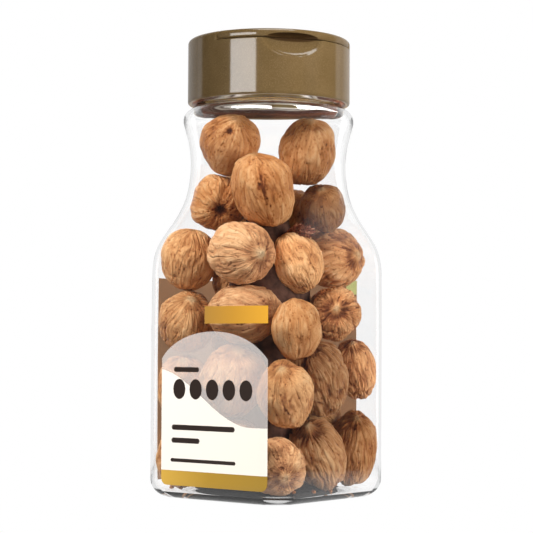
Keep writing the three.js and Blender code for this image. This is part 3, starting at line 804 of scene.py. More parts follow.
def turned(name, profile, sides):        # a closed body turned from (radius, height) points
    piece = stack(name, sides, len(profile))
    for vertex in piece.data.vertices:
        layer = round(vertex.co.z * 1000)
        radius, height = profile[layer]
        turn = math.atan2(vertex.co.y, vertex.co.x)
        vertex.co = (mm(radius) * math.cos(turn), mm(radius) * math.sin(turn), mm(height))
    piece.data.update()
    outwardNormals(piece)
    return piece


def halfDisc(name, line, radius, bottom, top):
    # the part of a disc beyond a straight line on the flap's side, as a cutter or a blank
    deselectAll()
    bpy.ops.mesh.primitive_cylinder_add(vertices=cap["cutterSides"], radius=mm(radius),
                                        depth=mm(top - bottom), location=(0, 0, mm((top + bottom) / 2)))
    piece = named(name)
    settle(piece)
    bpy.ops.object.mode_set(mode="EDIT")
    bpy.ops.mesh.select_all(action="SELECT")
    facing = outTo(flap["turn"])
    bpy.ops.mesh.bisect(plane_co=facing * mm(line), plane_no=facing, use_fill=True, clear_inner=True)
    bpy.ops.object.mode_set(mode="OBJECT")
    outwardNormals(piece)
    return piece


def cutWith(piece, cutter, operation="DIFFERENCE"):
    pick(piece)
    modifier = piece.modifiers.new("cut", "BOOLEAN")
    modifier.operation = operation
    modifier.object = cutter
    modifier.solver = "EXACT"
    finishModifiers(piece)
    bpy.data.objects.remove(cutter)


def softenEdges(piece, width):
    modifier = piece.modifiers.new("soft_edges", "BEVEL")
    modifier.width = mm(width)
    modifier.segments = 2
    modifier.limit_method = "ANGLE"
    modifier.angle_limit = math.radians(40)
    modifier.use_clamp_overlap = True
    finishModifiers(piece)


def roundMouth(mouth):                   # the two corners of the mouth's cutter are rounded
    weights = mouth.data.attributes.new("bevel_weight_edge", "FLOAT", "EDGE")
    facing = outTo(flap["turn"])
    for edge in mouth.data.edges:
        low, high = (mouth.data.vertices[index].co for index in edge.vertices)
        upright = abs(low.z - high.z) > mm(1)
        if upright and (low + high).dot(facing) / 2 < mm(flap["mouthStart"] + 0.05):
            weights.data[edge.index].value = 1
    modifier = mouth.modifiers.new("round", "BEVEL")
    modifier.width = mm(flap["mouthCorner"])
    modifier.segments = 6
    modifier.limit_method = "WEIGHT"
    finishModifiers(mouth)


def pressScoop(piece):                   # the thumb scoop, a shallow dent with a soft rim
    facing = outTo(flap["scoopTurn"])
    side = Vector((-facing.y, facing.x, 0))
    middleHeight = cap["top"] - flap["thickness"]
    for vertex in piece.data.vertices:
        radius = 1000 * math.hypot(vertex.co.x, vertex.co.y)
        if radius < cap["radius"] - 1.2 or vertex.co.dot(facing) < 0 or vertex.co.z < mm(130):
            continue
        across = 1000 * vertex.co.dot(side) / flap["scoopHalfWidth"]
        down = (1000 * vertex.co.z - middleHeight) / flap["scoopHeight"]
        inside = 1 - across ** 2 - down ** 2
        if inside > 0:
            dent = flap["scoopDepth"] * math.sqrt(inside) * min(1, inside * 9)
            vertex.co -= facing * mm(dent)


def topProfile():                        # the flat top and its rounded edge
    profile = [(radius, cap["top"]) for radius in (12, 20, 23)]
    middle, height, edge = cap["radius"] - cap["edge"], cap["top"] - cap["edge"], cap["edge"]
    for step in range(9):
        turn = math.radians(90 - 90 * step / 8)
        profile.append((middle + edge * math.cos(turn), height + edge * math.sin(turn)))
    return profile


def capProfile():
    profile = topProfile()
    for height in np.arange(cap["top"] - cap["edge"] - 0.35, cap["bottom"] + 0.5, -0.4):
        groove = cap["gateDepth"] * math.exp(-((height - cap["gateLine"]) / cap["gateWidth"]) ** 2)
        profile.append((cap["radius"] - groove, height))
    plateBottom = cap["top"] - cap["plate"]
    profile += [(cap["radius"] - 0.08, cap["bottom"] + 0.25), (cap["radius"] - 0.3, cap["bottom"]),
                (cap["lipRadius"] + 0.2, cap["bottom"]), (cap["lipRadius"], cap["bottom"] + 0.15),
                (cap["boreRadius"], cap["bottom"] + cap["lipDepth"]),
                (cap["boreRadius"], plateBottom - 0.4), (cap["boreRadius"] - 0.4, plateBottom),
                (12, plateBottom)]
    return profile


def mattTop(piece, matt):                # the flat top's own faces
    piece.data.materials.append(matt)
    for face in piece.data.polygons:
        if face.normal.z > 0.97 and face.center.z > mm(cap["top"] - 0.05):
            face.material_index = 1


def makeCap(material, matt):
    piece = turned("cap_body", capProfile(), cap["sides"])
    pressScoop(piece)
    seatBottom = cap["top"] - flap["thickness"] - flap["gap"]
    seat = halfDisc("seat", flap["seatLine"], cap["radius"] + 3, seatBottom, cap["top"] + 2)
    cutWith(piece, seat)
    mouth = halfDisc("mouth", flap["mouthStart"], flap["mouthRadius"], cap["top"] - cap["plate"] - 2,
                     cap["top"])
    roundMouth(mouth)
    cutWith(piece, mouth)
    softenEdges(piece, 0.22)
    smooth(piece, 38)
    dress(piece, material, "jar_body", "bronze_plastic", "cap")
    mattTop(piece, matt)
    return piece


def undercut(bottom):                    # the finger hold in the flap's lower edge, over the scoop
    place = mm(cap["radius"]) * outTo(flap["scoopTurn"]) + Vector((0, 0, mm(bottom)))
    deselectAll()
    bpy.ops.mesh.primitive_uv_sphere_add(segments=64, ring_count=32, radius=1, location=place,
                                         rotation=(0, 0, math.radians(flap["scoopTurn"])))
    piece = named("undercut")
    piece.scale = (mm(flap["scoopHalfWidth"]), mm(flap["undercutDepth"]), mm(flap["undercutHeight"]))
    settle(piece)
    return piece


def makeFlap(material, matt):
    bottom = cap["top"] - flap["thickness"]
    profile = topProfile() + [(cap["radius"], bottom + 0.6), (cap["radius"] - 0.1, bottom + 0.25),
                              (cap["radius"] - 0.4, bottom), (12, bottom)]
    lid = turned("flap_lid", profile, cap["sides"])
    keep = halfDisc("keep", flap["hinge"], cap["radius"] + 3, bottom - 1, cap["top"] + 1)
    cutWith(lid, keep, "INTERSECT")
    cutWith(lid, undercut(bottom))
    softenEdges(lid, 0.2)
    plugLine = flap["mouthStart"] + 0.5
    plug = halfDisc("flap_plug", plugLine, flap["plugRadius"], bottom - flap["plugDepth"], bottom + 0.3)
    hollow = halfDisc("hollow", plugLine + flap["plugWall"], flap["plugRadius"] - flap["plugWall"],
                      bottom - 3, bottom + 0.15)
    cutWith(plug, hollow)
    softenEdges(plug, 0.18)
    piece = joinPieces([lid, plug], "flap_lid")
    smooth(piece, 38)
    dress(piece, material, "flap", "bronze_plastic", "cap_flap")
    mattTop(piece, matt)
    return piece


label = {                                # mm round the wall from the middle of the label side
    "out": 0.06,                         # mm off the wall
    "thickness": 0.09,
    "left": -18.9,
    "right": 22.9,
    "bottom": 4.5,
    "cornerRadius": 2.2,
    "bandTop": 9.1,
    "windowMiddle": 2,
    "windowHalf": 22.8,
    "windowShoulder": 38,
    "windowTop": 51.9,
    "curveStart": -22,
    "curveEnd": 17,
    "curveHigh": 40.5,
    "curveLow": 23.2,
    "tagLeft": -1.5,
    "tagBottom": 54.3,
    "tagTop": 59.6,
    "seam": 0.04,
    "cream": ["#f3ebe0", "#f0e8db"],     # colours from left to right, with painted shading and sheen
    "band": ["#d0a544", "#ab852b", "#a07e2e"],
    "tag": ["#a57a35", "#bd892d", "#d69c2f"],
    "ink": ["#2b211c", "#2f2520"],
}
backLabel = {
    "left": -120.7,
    "right": -32.1,
    "bottom": 4.6,
    "top": 69,
    "out": 0.1,
    "thickness": 0.07,
    "patchWide": 4.2,                    # a coloured patch in the upper corner of one end
    "patchLow": 64.5,
    # painted glow of the patch and of the label's reverse
    "patchGlow": 0.6,
    "glow": 0.4,
    "print": ["#efe4d2", "#e9dcc6"],
    # the reverse is drawn brown as painted shade; its glow and the patch's light are painted
    "reverse": ["#b3967c", "#c9a07c"],
    "reverseGlow": "#c49a78",
    "reverseOut": 0.03,
    "reverseThickness": 0.04,
    "patch": ["#cfdc8a", "#dfe3a0"],
    "patchLight": "#e4eaa0",
    "patchOut": 0.008,
    "patchThickness": 0.016,
}


def panelTop(along):
    share = min(1, max(0, (along - label["curveStart"]) / (label["curveEnd"] - label["curveStart"])))
    rise = label["curveHigh"] - label["curveLow"]
    return label["curveLow"] + rise * (1 + math.cos(math.pi * share)) / 2


def windowTop(along):
    share = (along - label["windowMiddle"]) / label["windowHalf"]
    rise = label["windowTop"] - label["windowShoulder"]
    return label["windowShoulder"] + rise * math.sqrt(1 - share * share)


def labelFoot(along):
    side = min(along - label["left"], label["right"] - along)
    inside = max(0, label["cornerRadius"] - side)
    drop = label["cornerRadius"] - math.sqrt(max(0, label["cornerRadius"] ** 2 - inside ** 2))
    return label["bottom"] + min(drop, label["cornerRadius"] - 0.1)


def wallSheet(name, left, right, lowEdge, highEdge, across=80, up=6, out=label["out"],
              thickness=label["thickness"]):
    # a flat grid laid on the jar's wall, then given the film's thickness
    deselectAll()
    bpy.ops.mesh.primitive_grid_add(x_subdivisions=across, y_subdivisions=up, size=2)
    piece = named(name)
    for vertex in piece.data.vertices:
        along = left + (right - left) * (vertex.co.x + 1) / 2
        low, high = lowEdge(along), highEdge(along)
        vertex.co = wallPoint(along, low + (high - low) * (vertex.co.y + 1) / 2, out)
    piece.data.update()
    modifier = piece.modifiers.new("film", "SOLIDIFY")
    modifier.thickness = mm(thickness)
    modifier.offset = 1
    finishModifiers(piece)
    smooth(piece, 40)
    return piece


def makeFrontLabel():
    left, right = label["left"], label["right"]
    panel = wallSheet("label_cream", left, right, lambda a: label["bandTop"], panelTop)
    dress(panel, filmMaterial("white_film_cream_print", label["cream"]), "jar_body", "cream_print",
          "label_panel")
    window = wallSheet("label_dome", left, right, lambda a: panelTop(a) + label["seam"], windowTop)
    dress(window, veilMaterial(), "jar_body", "veil_print", "label_window")
    foot = wallSheet("label_gold_band", left, right, labelFoot, lambda a: label["bandTop"] - label["seam"],
                     160)
    dress(foot, filmMaterial("film_gold_ink", label["band"]), "jar_body", "gold_print", "label_band")
    tag = wallSheet("label_gold_tag", label["tagLeft"], right, lambda a: label["tagBottom"],
                    lambda a: label["tagTop"])
    tagGold = filmMaterial("film_gold_ink_bright", label["tag"], label["tagLeft"], filmFinish["acrossTo"])
    dress(tag, tagGold, "jar_body", "gold_print", "label_tag")


plainPrint = {                           # bars and ovals where a pack has its wording
    "out": 0.13,
    "thickness": 0.03,
    "ovals": {"from": -11.6, "to": 15.0, "count": 5, "height": 34.2, "half": (2.5, 3.1)},
    "bars": [(-13.9, -3.6, 40.2, 0.75), (-14.7, 10.8, 22.4, 0.8), (-14.7, -3.2, 18.4, 0.8),
             (-15.1, 11.2, 12.3, 0.55)],
}


def inkBlot(name, left, right, middle, half, across=24):   # a rounded spot of ink on the wall
    def edge(along, sign):
        rounding = min(half, (right - left) / 2)
        side = min(along - left, right - along)
        inside = max(0, rounding - side) / rounding
        return middle + sign * max(0.02, half * math.sqrt(max(0, 1 - inside ** 2)))

    return wallSheet(name, left, right, lambda a: edge(a, -1), lambda a: edge(a, 1), across, 2,
                     plainPrint["out"], plainPrint["thickness"])


def makePrint():
    ovals = plainPrint["ovals"]
    halfAcross, halfUp = ovals["half"]
    blots = []
    for index in range(ovals["count"]):
        along = ovals["from"] + (ovals["to"] - ovals["from"]) * index / (ovals["count"] - 1)
        left, right = along - halfAcross, along + halfAcross
        blots.append(inkBlot(f"oval_{index}", left, right, ovals["height"], halfUp))
    for index, (left, right, middle, half) in enumerate(plainPrint["bars"]):
        blots.append(inkBlot(f"bar_{index}", left, right, middle, half, 60))
    piece = joinPieces(blots, "label_plain_print")
    dress(piece, filmMaterial("film_umber_ink", label["ink"]), "jar_body", "cream_print")


def makeBackLabel():
    left, right, top = backLabel["left"], backLabel["right"], backLabel["top"]
    ends = (lambda a: backLabel["bottom"], lambda a: top)
    sheet = wallSheet("label_back_sheet", left, right, *ends, 160, 4, backLabel["out"],
                      backLabel["thickness"])
    dress(sheet, filmMaterial("film_cream_print_back", backLabel["print"], -30, 30), "jar_body",
          "back_print", "label_back")
    reverse = wallSheet("label_back_reverse", left, right, *ends, 160, 4, backLabel["reverseOut"],
                        backLabel["reverseThickness"])
    dress(reverse, paintedGlowFilm("film_reverse_painted_shade_and_glow", backLabel["reverse"], backLabel["reverseGlow"],
                              backLabel["glow"]), "jar_body", "back_print", "label_back")
    patch = wallSheet("label_back_patch", left, left + backLabel["patchWide"],
                      lambda a: backLabel["patchLow"], lambda a: top, 6, 2, backLabel["patchOut"],
                      backLabel["patchThickness"])
    dress(patch, paintedGlowFilm("film_green_cream_painted_glow", backLabel["patch"], backLabel["patchLight"],
                            backLabel["patchGlow"]), "jar_body", "back_print", "label_back")


heap = {                                 # mm and degrees
    "cornerTurn": 38.8,
    "fillGirth": 8.8,
    "fillLength": 9.9,
    "fillApart": 17.2,
    "firstHeight": 11,
    "lastHeight": 84,
    "heightStep": 3,
    "turnStep": 20,
    "innerRing": 0.35,
    "frontRounds": 120,
    "allRounds": 160,
    "freeRounds": 25,
    "hold": 0.12,
    "reach": 26,
    "wallGap": 0.55,
    "clearance": 0.3,
}
# Place across the front corner and out towards it, height, half girth, half length, tilt and lean,
# then how furrowed, netted, pitted and scarred it is, its tone, and what its end shows.
frontNutmegs = [
    (-12.1, 12, 111.2, 9.4, 11, 25, 52, 0.25, 0.3, 0.2, 0, 0.76, "star"),
    (11.6, 8, 105.3, 8.8, 11.3, 8, 0, 0.35, 0.7, 0.7, 0, 0.73, "hilum"),
    (-4.4, 14, 95.4, 9.9, 12, -15, 15, 0.35, 0.3, 0.4, 1.0, 0.88, "plain"),
    (-16.3, 4, 94, 9.2, 10, 160, 70, 0.35, 0.3, 0.1, 0, 0.92, "hollow"),
    (17.5, 6, 93.4, 7.2, 7.9, -10, 20, 0.3, 0.35, 0.5, 0, 0.54, "hilum"),
    (7.6, -8, 90.8, 8.8, 9.2, 30, 0, 0.4, 0.4, 0.3, 0, 0.75, "hilum"),
    (-4.7, -10, 98, 8.8, 9.4, 70, 0, 0.4, 0.4, 0.3, 0, 0.75, "hilum"),
    (-26, 2.6, 72.6, 9.2, 9.9, 10, 10, 0.35, 0.15, 0.1, 0, 1.16, "plain"),
    (-6.7, 19, 75.8, 9.6, 11, 98, 38, 0.5, 0.2, 0.1, 0, 1.16, "hilum"),
    (7.4, 9, 74.2, 8.2, 9.8, -25, 10, 0.4, 0.3, 0.1, 0, 1.32, "plain"),
    (20, 4, 75.6, 9.4, 10.6, 82, 10, 0.8, 0.2, 0.1, 0, 1.32, "hilum"),
    (-25, 2, 50.8, 9.2, 10, 15, 20, 0.4, 0.2, 0.5, 0, 1.05, "hilum"),
    (-7.9, 14, 56, 9.5, 11.8, 90, 0, 0.45, 0.25, 0.6, 0, 1.05, "hilum"),
    (8.2, 22, 53.4, 7.5, 9.6, -5, 0, 0.25, 0.15, 0.2, 0, 0.93, "plain"),
    (20.2, 4, 56.8, 8.8, 9.2, 10, 75, 0.85, 0.3, 0.1, 0, 1.2, "hilum"),
    (27.3, -8, 39.8, 6.9, 10, -10, 0, 0.7, 0.2, 0.1, 0, 1.4, "hilum"),
    (21, 8, 34.4, 10.1, 13.2, -18, 0, 0.9, 0.5, 0.2, 0, 0.76, "hilum"),
    (5.7, 24, 33, 8.3, 11.3, -10, 25, 0.4, 0.3, 0.1, 0.8, 1.15, "hilum"),
    (-12.5, 14, 37.1, 10.2, 11.9, 10, 0, 0.4, 0.3, 0.2, 0, 1.1, "hilum"),
    (-26.4, 2, 31.4, 8.6, 11.1, 0, 10, 0.4, 0.3, 0.3, 0, 1.05, "hilum"),
    (-26.1, 2, 13, 8.9, 10.5, 10, 0, 0.4, 0.3, 0.3, 0, 1.0, "hilum"),
    (2.9, 22, 11, 8.9, 9.4, 137, 50, 0.45, 0.2, 0.2, 0, 1.15, "hilum"),
    (20.6, 12, 14.3, 8.8, 12, -20, 5, 0.7, 0.3, 0.2, 0, 0.88, "hilum"),
    (28.4, -9, 14.8, 7.8, 12.5, 5, 0, 0.5, 0.6, 0.3, 0, 0.85, "hilum"),
    (-11.9, 14, 12.3, 9.3, 10.2, 60, 10, 0.4, 0.4, 0.2, 0, 1.0, "hilum"),
]
lookNames = ("furrows", "net", "pits", "scar", "tone", "end")


def outwards(across, toward):
    turn = math.radians(heap["cornerTurn"])
    return np.array([across * math.cos(turn) + toward * math.sin(turn),
                     across * math.sin(turn) - toward * math.cos(turn)])


def longAxis(tilt, lean):
    tilt, lean = math.radians(tilt), math.radians(lean)
    level = outwards(math.sin(tilt) * math.cos(lean), math.sin(lean))
    return np.array([level[0], level[1], math.cos(tilt) * math.cos(lean)])


def reachOf(nutmeg, along):
    return math.sqrt(nutmeg["girth"] ** 2 * (1 - along ** 2) + nutmeg["length"] ** 2 * along ** 2)


wallTurns = np.radians(np.repeat(np.arange(0, 360, 15), 5))
wallTilts = np.radians(np.tile([-50, -25, 0, 25, 50], 24))
wallCos, wallSin = np.cos(wallTurns), np.sin(wallTurns)
wallWays = np.stack([wallCos * np.cos(wallTilts), wallSin * np.cos(wallTilts), np.sin(wallTilts)], axis=1)


def pushInsideWall(nutmeg):
    girth, length, axis = nutmeg["girth"], nutmeg["length"], nutmeg["axis"]
    along = wallWays @ axis
    reaches = np.sqrt(girth ** 2 * (1 - along ** 2) + length ** 2 * along ** 2)
    points = wallWays * girth ** 2 + np.outer((length ** 2 - girth ** 2) * along, axis)
    points = points / reaches[:, None] + nutmeg["centre"]
    half, corner = jarSection(points[:, 2])
    slanted = (half - corner) * (abs(wallCos) + abs(wallSin)) + corner
    limit = slanted - stationCurve(3, points[:, 2]) - heap["wallGap"]
    over = points[:, 0] * wallCos + points[:, 1] * wallSin - limit
    worst = int(np.argmax(over))
    if over[worst] > 0:
        nutmeg["centre"][0] -= wallCos[worst] * over[worst]
        nutmeg["centre"][1] -= wallSin[worst] * over[worst]
    lowest = nutmeg["centre"][2] - reachOf(nutmeg, axis[2])
    nutmeg["centre"][2] += max(0, jar["floor"] + heap["clearance"] - lowest)


def pushApart(first, second):
    between = second["centre"] - first["centre"]
    distance = math.sqrt(between @ between)
    if distance > heap["reach"]:
        return
    between = between / distance
    reaches = reachOf(first, first["axis"] @ between) + reachOf(second, second["axis"] @ between)
    if reaches > distance:
        shift = between * (reaches - distance) / 2
        first["centre"] -= shift
        second["centre"] += shift


def holdInView(nutmeg):
    side = outwards(1, 0)
    shift = heap["hold"] * (nutmeg["across"] - nutmeg["centre"][:2] @ side)
    nutmeg["centre"][:2] += shift * side
    nutmeg["centre"][2] += heap["hold"] * (nutmeg["height"] - nutmeg["centre"][2])


def settleHeap(nutmegs, rounds):
    for turn in range(rounds):
        for i, first in enumerate(nutmegs):
            for second in nutmegs[i + 1:]:
                pushApart(first, second)
        for nutmeg in nutmegs:
            pushInsideWall(nutmeg)
        if turn < rounds - heap["freeRounds"]:
            for nutmeg in nutmegs:
                if nutmeg["held"]:
                    holdInView(nutmeg)


def fillBehind(nutmegs):
    added = 0
    margin = jar["wall"] + heap["fillGirth"]
    for height in range(heap["firstHeight"], heap["lastHeight"], heap["heightStep"]):
        half, corner = (float(value) for value in jarSection(height))
        for degrees in range(0, 360, heap["turnStep"]):
            x, y = math.cos(math.radians(degrees)), math.sin(math.radians(degrees))
            slanted = (half - corner) * (abs(x) + abs(y)) + corner - margin
            square = (half - margin) / max(abs(x), abs(y))
            for distance in (min(slanted, square), slanted * heap["innerRing"]):
                centre = np.array([x * distance, y * distance, float(height)])
                if all(np.linalg.norm(other["centre"] - centre) > heap["fillApart"] for other in nutmegs):
                    axis = longAxis(37 * added % 180, 23 * added % 60)
                    look = {"furrows": random.uniform(0.3, 0.9), "net": random.uniform(0.25, 0.6),
                            "pits": random.uniform(0.1, 0.7), "scar": 0,
                            "tone": random.uniform(0.86, 1.1), "end": "hilum"}
                    nutmegs.append({"centre": centre, "girth": heap["fillGirth"], "axis": axis,
                                    "length": heap["fillLength"], "held": False, **look})
                    added += 1


def pileNutmegs():
    nutmegs = []
    for across, toward, height, girth, length, tilt, lean, *look in frontNutmegs:
        place = outwards(across, toward)
        nutmegs.append({"centre": np.array([place[0], place[1], float(height)]), "across": across,
                        "height": height, "girth": girth, "length": length,
                        "axis": longAxis(tilt, lean), "held": True, **dict(zip(lookNames, look))})
    settleHeap(nutmegs, heap["frontRounds"])
    fillBehind(nutmegs)
    settleHeap(nutmegs, heap["allRounds"])
    return nutmegs


def bell(value, width):
    return math.exp(-(value / width) ** 2)


waves = {                                # how many waves of each pattern go over a kernel
    "wander": 1.6,
    "furrowRound": 1.9,
    "furrowAlong": 0.75,
    "fineRound": 6.4,
    "fineAlong": 1.7,
    "net": 4.6,
    "small": 9.5,
    "lump": 1.15,
    "pitPatch": 7,
    "pit": 16,
}
relief = {                               # all as a share of the girth
    "lump": 0.085,
    "furrow": 0.058,
    "wrinkle": 0.022,
    "net": 0.01,
    "pit": 0.022,
    "ray": 0.055,
    "scar": 0.045,
    "hilumBump": 0.008,
    "hilumMoat": 0.03,
    "hollow": 0.13,
}


def kernelRelief(way, nutmeg, seed):     # how far the surface stands out, and how deep its furrow is
    level = max(1e-4, math.hypot(way.x, way.y))
    polar = math.acos(max(-1, min(1, way.z)))
    girdle = Vector((way.x / level, way.y / level, 0))
    wander = noise.noise_vector(way * waves["wander"] + seed)
    inward = min(1, level / 0.22)
    nearEnd = 1 + 1.6 * bell(polar, 0.7)
    path = girdle * waves["furrowRound"] + wander * 0.8
    path.z = way.z * waves["furrowAlong"] + wander.z * 0.3
    major = noise.noise(path + seed)
    finePath = girdle * waves["fineRound"] + wander * 1.6
    finePath.z = way.z * waves["fineAlong"] + wander.z * 0.7
    fine = noise.noise(finePath + seed * 1.7)
    netted = noise.noise(way * waves["net"] + wander * 1.6 + seed * 0.6)
    small = noise.noise(way * waves["small"] + wander * 1.8 - seed)
    furrow = (0.7 * bell(major, 0.07) + 0.5 * bell(major, 0.2)) * nutmeg["furrows"] * inward
    wrinkle = bell(fine, 0.16) * (0.3 + nutmeg["furrows"]) * inward * nearEnd
    net = bell(netted, 0.16) * nutmeg["net"]
    lump = noise.noise(way * waves["lump"] + seed * 2.1) + 0.5 * noise.noise(way * 2.4 - seed)
    out = 1 + relief["lump"] * lump - relief["furrow"] * furrow - relief["net"] * net
    out -= relief["wrinkle"] * wrinkle
    crest = min(1, max(0, abs(fine) - 0.18) * 3) * inward
    depth = 0.3 + 0.18 * furrow + 0.1 * wrinkle + 0.1 * net - 0.1 * crest - 0.2 * lump
    if nutmeg["end"] == "hilum":         # crisp ridges that run into the pale end
        close = bell(polar - 0.42, 0.34) * inward * (0.5 + nutmeg["furrows"])
        ray = bell(fine, 0.18)
        out += relief["ray"] * close * (ray - 0.6)
        depth += close * (0.24 - 0.5 * ray)
    if noise.cell(way * waves["pitPatch"] + seed) < nutmeg["pits"] * 0.08:
        pit = max(0, noise.noise(way * waves["pit"] + seed) - 0.15) * 1.7
        out -= relief["pit"] * pit
        depth += pit * 0.4
    if nutmeg["scar"]:
        off = math.remainder(math.atan2(way.y, way.x) - nutmeg["scarTurn"], 2 * math.pi)
        line = bell((off + 0.3 * wander.x + 0.12 * small) * level, 0.045)
        line *= nutmeg["scar"] * bell(polar - 1.35, 0.6)
        out -= relief["scar"] * line
        patch = bell(off * level, 0.24) * bell(polar - 1.3, 0.3) * (0.6 + small)
        depth += 0.4 * line + 0.4 * nutmeg["scar"] * max(0, patch)
    if nutmeg["end"] == "hilum":
        out += relief["hilumBump"] * bell(polar, 0.17) - relief["hilumMoat"] * bell(polar - 0.36, 0.14)
        depth += 0.14 * bell(polar - 0.34, 0.14) * (0.5 + wrinkle) - 0.25 * bell(polar, 0.18)
    elif nutmeg["end"] == "hollow":
        out -= relief["hollow"] * bell(polar, 0.24)
        depth += 0.8 * bell(polar, 0.2)
    elif nutmeg["end"] == "star":
        spot = way.angle(nutmeg["facing"])
        aside = way - nutmeg["facing"]
        rays = bell(math.sin(5 * math.atan2(aside.x, aside.y)), 0.5)
        out -= 0.05 * bell(spot, 0.1) + 0.02 * rays * bell(spot, 0.3)
        depth += 0.7 * bell(spot, 0.1) + 0.3 * rays * bell(spot, 0.25)
    tail = bell(math.pi - polar, 0.3)
    return out - 0.04 * tail, max(0, min(1, depth + 0.3 * tail))


hilumAside = 0.36                        # share of the way from the long axis to the front


def makeNutmeg(nutmeg, index):
    deselectAll()
    bpy.ops.mesh.primitive_ico_sphere_add(subdivisions=6, radius=1)
    piece = named(f"nutmeg_{index:02d}")
    mesh = piece.data
    seed = Vector((index * 3.17 + 0.4, index * 1.93 + 7.1, index * 2.71 - 4.3))
    turn = Vector((0, 0, 1)).rotation_difference(Vector(nutmeg["axis"])).to_matrix()
    toward = turn.inverted() @ Vector((*outwards(0, 1), 0))
    nutmeg["scarTurn"] = math.atan2(toward.y, toward.x)
    nutmeg["facing"] = (turn.inverted() @ Vector((*outwards(0, 1), 0.2))).normalized()
    aside = hilumAside if nutmeg["end"] == "hilum" else 0   # a hilum sits a little off the long axis
    grain = Quaternion().slerp(Vector((0, 0, 1)).rotation_difference(toward), aside).to_matrix().inverted()
    girth, length, centre = nutmeg["girth"], nutmeg["length"], Vector(nutmeg["centre"])
    depths, skins, fibres = [], [], []
    for vertex in mesh.vertices:
        way = vertex.co.normalized()
        own = grain @ way
        out, depth = kernelRelief(own, nutmeg, seed)
        fullness = girth * (1 + 0.04 * way.z) * out
        local = Vector((way.x * fullness, way.y * fullness, way.z * length * out))
        vertex.co = (turn @ local + centre) / 1000
        depths.append(depth)
        skins.extend(local + seed * 40)
        level = math.hypot(own.x, own.y)
        girdle = Vector((own.x, own.y, 0)) * (girth / max(level, 0.1))
        polar = math.acos(max(-1, min(1, own.z)))
        fibres.extend(girdle + Vector((0, 0, polar * girth)) + seed * 40)
    tones = [nutmeg["tone"]] * len(depths)
    for name, kind, field, values in (("furrow", "FLOAT", "value", depths), ("tone", "FLOAT", "value", tones),
                                      ("skin", "FLOAT_VECTOR", "vector", skins),
                                      ("fibre", "FLOAT_VECTOR", "vector", fibres)):
        mesh.attributes.new(name, kind, "POINT").data.foreach_set(field, values)
    mesh.update()
    return piece


kinds = {                                # which nutmegs go in each piece, by their look
    "nutmegs_plain": lambda look: look["furrows"] < 0.42 and look["tone"] >= 0.95,
    "nutmegs_brown": lambda look: look["tone"] < 0.95 and look["furrows"] < 0.6,
    "nutmegs_furrowed": lambda look: look["furrows"] >= 0.6,
    "nutmegs_pale": lambda look: look["tone"] >= 1.04,
    "nutmegs_wrinkled": lambda look: True,
}
kindColour = {                           # turn of the hue towards yellow, and how vivid
    "nutmegs_plain": (0.003, 0.96),
    "nutmegs_brown": (-0.002, 1.02),
    "nutmegs_furrowed": (0.001, 0.96),
    "nutmegs_pale": (0.003, 0.91),
    "nutmegs_wrinkled": (0.001, 0.97),
}
kindLimit = 9                            # nine of 20,480 triangles each


def makeNutmegs():
    nutmegs = pileNutmegs()
    print("nutmegs piled:", len(nutmegs))
    groups = {name: [] for name in kinds}
    for index, nutmeg in enumerate(nutmegs):
        fitting = [name for name, rule in kinds.items() if rule(nutmeg) and len(groups[name]) < kindLimit]
        home = fitting[0] if fitting else min(groups, key=lambda name: len(groups[name]))
        groups[home].append(makeNutmeg(nutmeg, index))
    for name, members in groups.items():
        piece = joinPieces(members, name)
        smooth(piece)
        dress(piece, kernelMaterial("dried_" + name, *kindColour[name]), "jar_body", "nutmeg_shell",
              "nutmegs")
    return nutmegs


core = {                                 # mm; a dark body of painted shade inside the heap
    "inWall": 16.5,
    "inWallEnds": 18,
    "bottom": 4,
    "shoulder": 80,
    "top": 88,
    "step": 4,
    "foot": [(18.6, 9.5, 2.45), (18.8, 9.6, 2.5), (18.6, 9.5, 2.6)],   # a dark plate of painted shade under the lowest nutmegs
    "sides": 48,
}


def makeCore():
    sections = list(core["foot"])
    for height in range(core["bottom"], core["top"] + 1, core["step"]):
        half, corner = (float(value) for value in jarSection(height))
        inside = core["bottom"] < height < core["shoulder"]
        inner = half - (core["inWall"] if inside else core["inWallEnds"])
        sections.append((inner, min(corner, inner - 0.5), height))
    piece = stack("nutmegs_core", core["sides"], len(sections))
    layOnSections(piece, core["sides"], sections)
    outwardNormals(piece)
    smooth(piece)
    dress(piece, heapShadeMaterial(), "jar_body", "nutmeg_shell", "nutmegs")


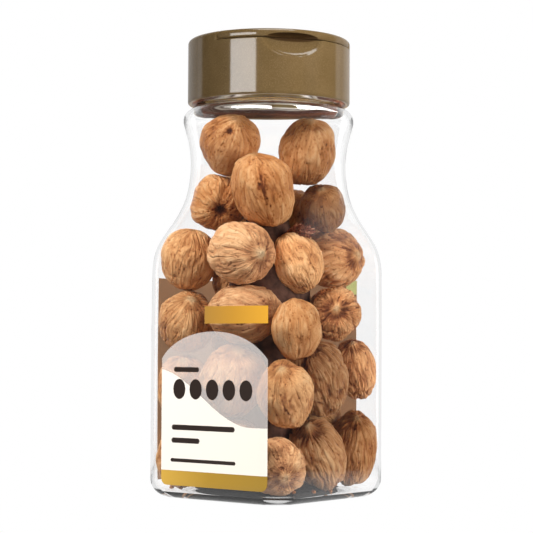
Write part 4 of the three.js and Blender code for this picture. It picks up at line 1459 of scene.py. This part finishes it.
loose = {                                # a bit of mace on a nutmeg, and crumbs on the jar's floor
    "restsOn": 9,
    "flakePlace": (1.4, 2.4, 9.4),       # across, out and up from that nutmeg's middle
    "flakeHalf": (3.0, 1.5, 1.6),
    "flakeFrills": 0.9,
    "flakeColours": ("#4a1f14", "#8a4a33", "#cf9f82"),
    # across, out and size
    "crumbs": [(8.4, 22.5, 0.75), (14.2, 17.5, 0.6), (6.6, 24, 0.65), (-29.5, 3, 0.7), (-26.5, 5.5, 0.6),
               (1.5, 26, 0.45), (19.5, 13, 0.5)],
    "crumbHeight": 2.9,
    "crumbFrills": 0.35,
    "crumbColours": ("#7a4526", "#b8733f", "#dba36c"),
}


def roughBit(name, centre, half, seed, frills):   # a small torn piece
    deselectAll()
    bpy.ops.mesh.primitive_ico_sphere_add(subdivisions=4, radius=1)
    piece = named(name)
    for vertex in piece.data.vertices:
        way = vertex.co.normalized()
        out = 1 + frills * noise.noise(way * 2.6 + Vector((seed, 0, 0)))
        out += frills * 0.9 * abs(noise.noise(way * 6 - Vector((0, seed, 0))))
        vertex.co = Vector([centre[i] + half[i] * way[i] * out for i in range(3)]) / 1000
    piece.data.update()
    return piece


def makeLoose(nutmegs):
    across, toward, up = loose["flakePlace"]
    rest = nutmegs[loose["restsOn"]]["centre"]
    offset = outwards(across, toward)
    flake = roughBit("mace_flake", (rest[0] + offset[0], rest[1] + offset[1], rest[2] + up),
                     loose["flakeHalf"], 3.1, loose["flakeFrills"])
    smooth(flake, 50)
    dress(flake, bitMaterial("dried_mace", *loose["flakeColours"]), "jar_body", "nutmeg_shell", "nutmegs")
    crumbs = []
    for index, (across, toward, size) in enumerate(loose["crumbs"]):
        x, y = outwards(across, toward)
        half = (size, size * 0.8, size * 0.6)
        crumbs.append(roughBit(f"crumb_{index}", (x, y, loose["crumbHeight"]), half, index * 2.3,
                               loose["crumbFrills"]))
    piece = joinPieces(crumbs, "nutmeg_crumbs")
    smooth(piece, 50)
    dress(piece, bitMaterial("nutmeg_crumb", *loose["crumbColours"]), "jar_body", "nutmeg_shell", "nutmegs")


addCamera()
makeStudio()
print("studio set")
wallPiece = makeJar()
bronze = bronzeMaterial()
matt = mattTopMaterial()
lightCap(wallPiece, [makeCap(bronze, matt), makeFlap(bronze, matt)])
print("jar and cap made")
makeFrontLabel()
makePrint()
makeBackLabel()
print("labels made")
makeLoose(makeNutmegs())
makeCore()
print("nutmegs made")
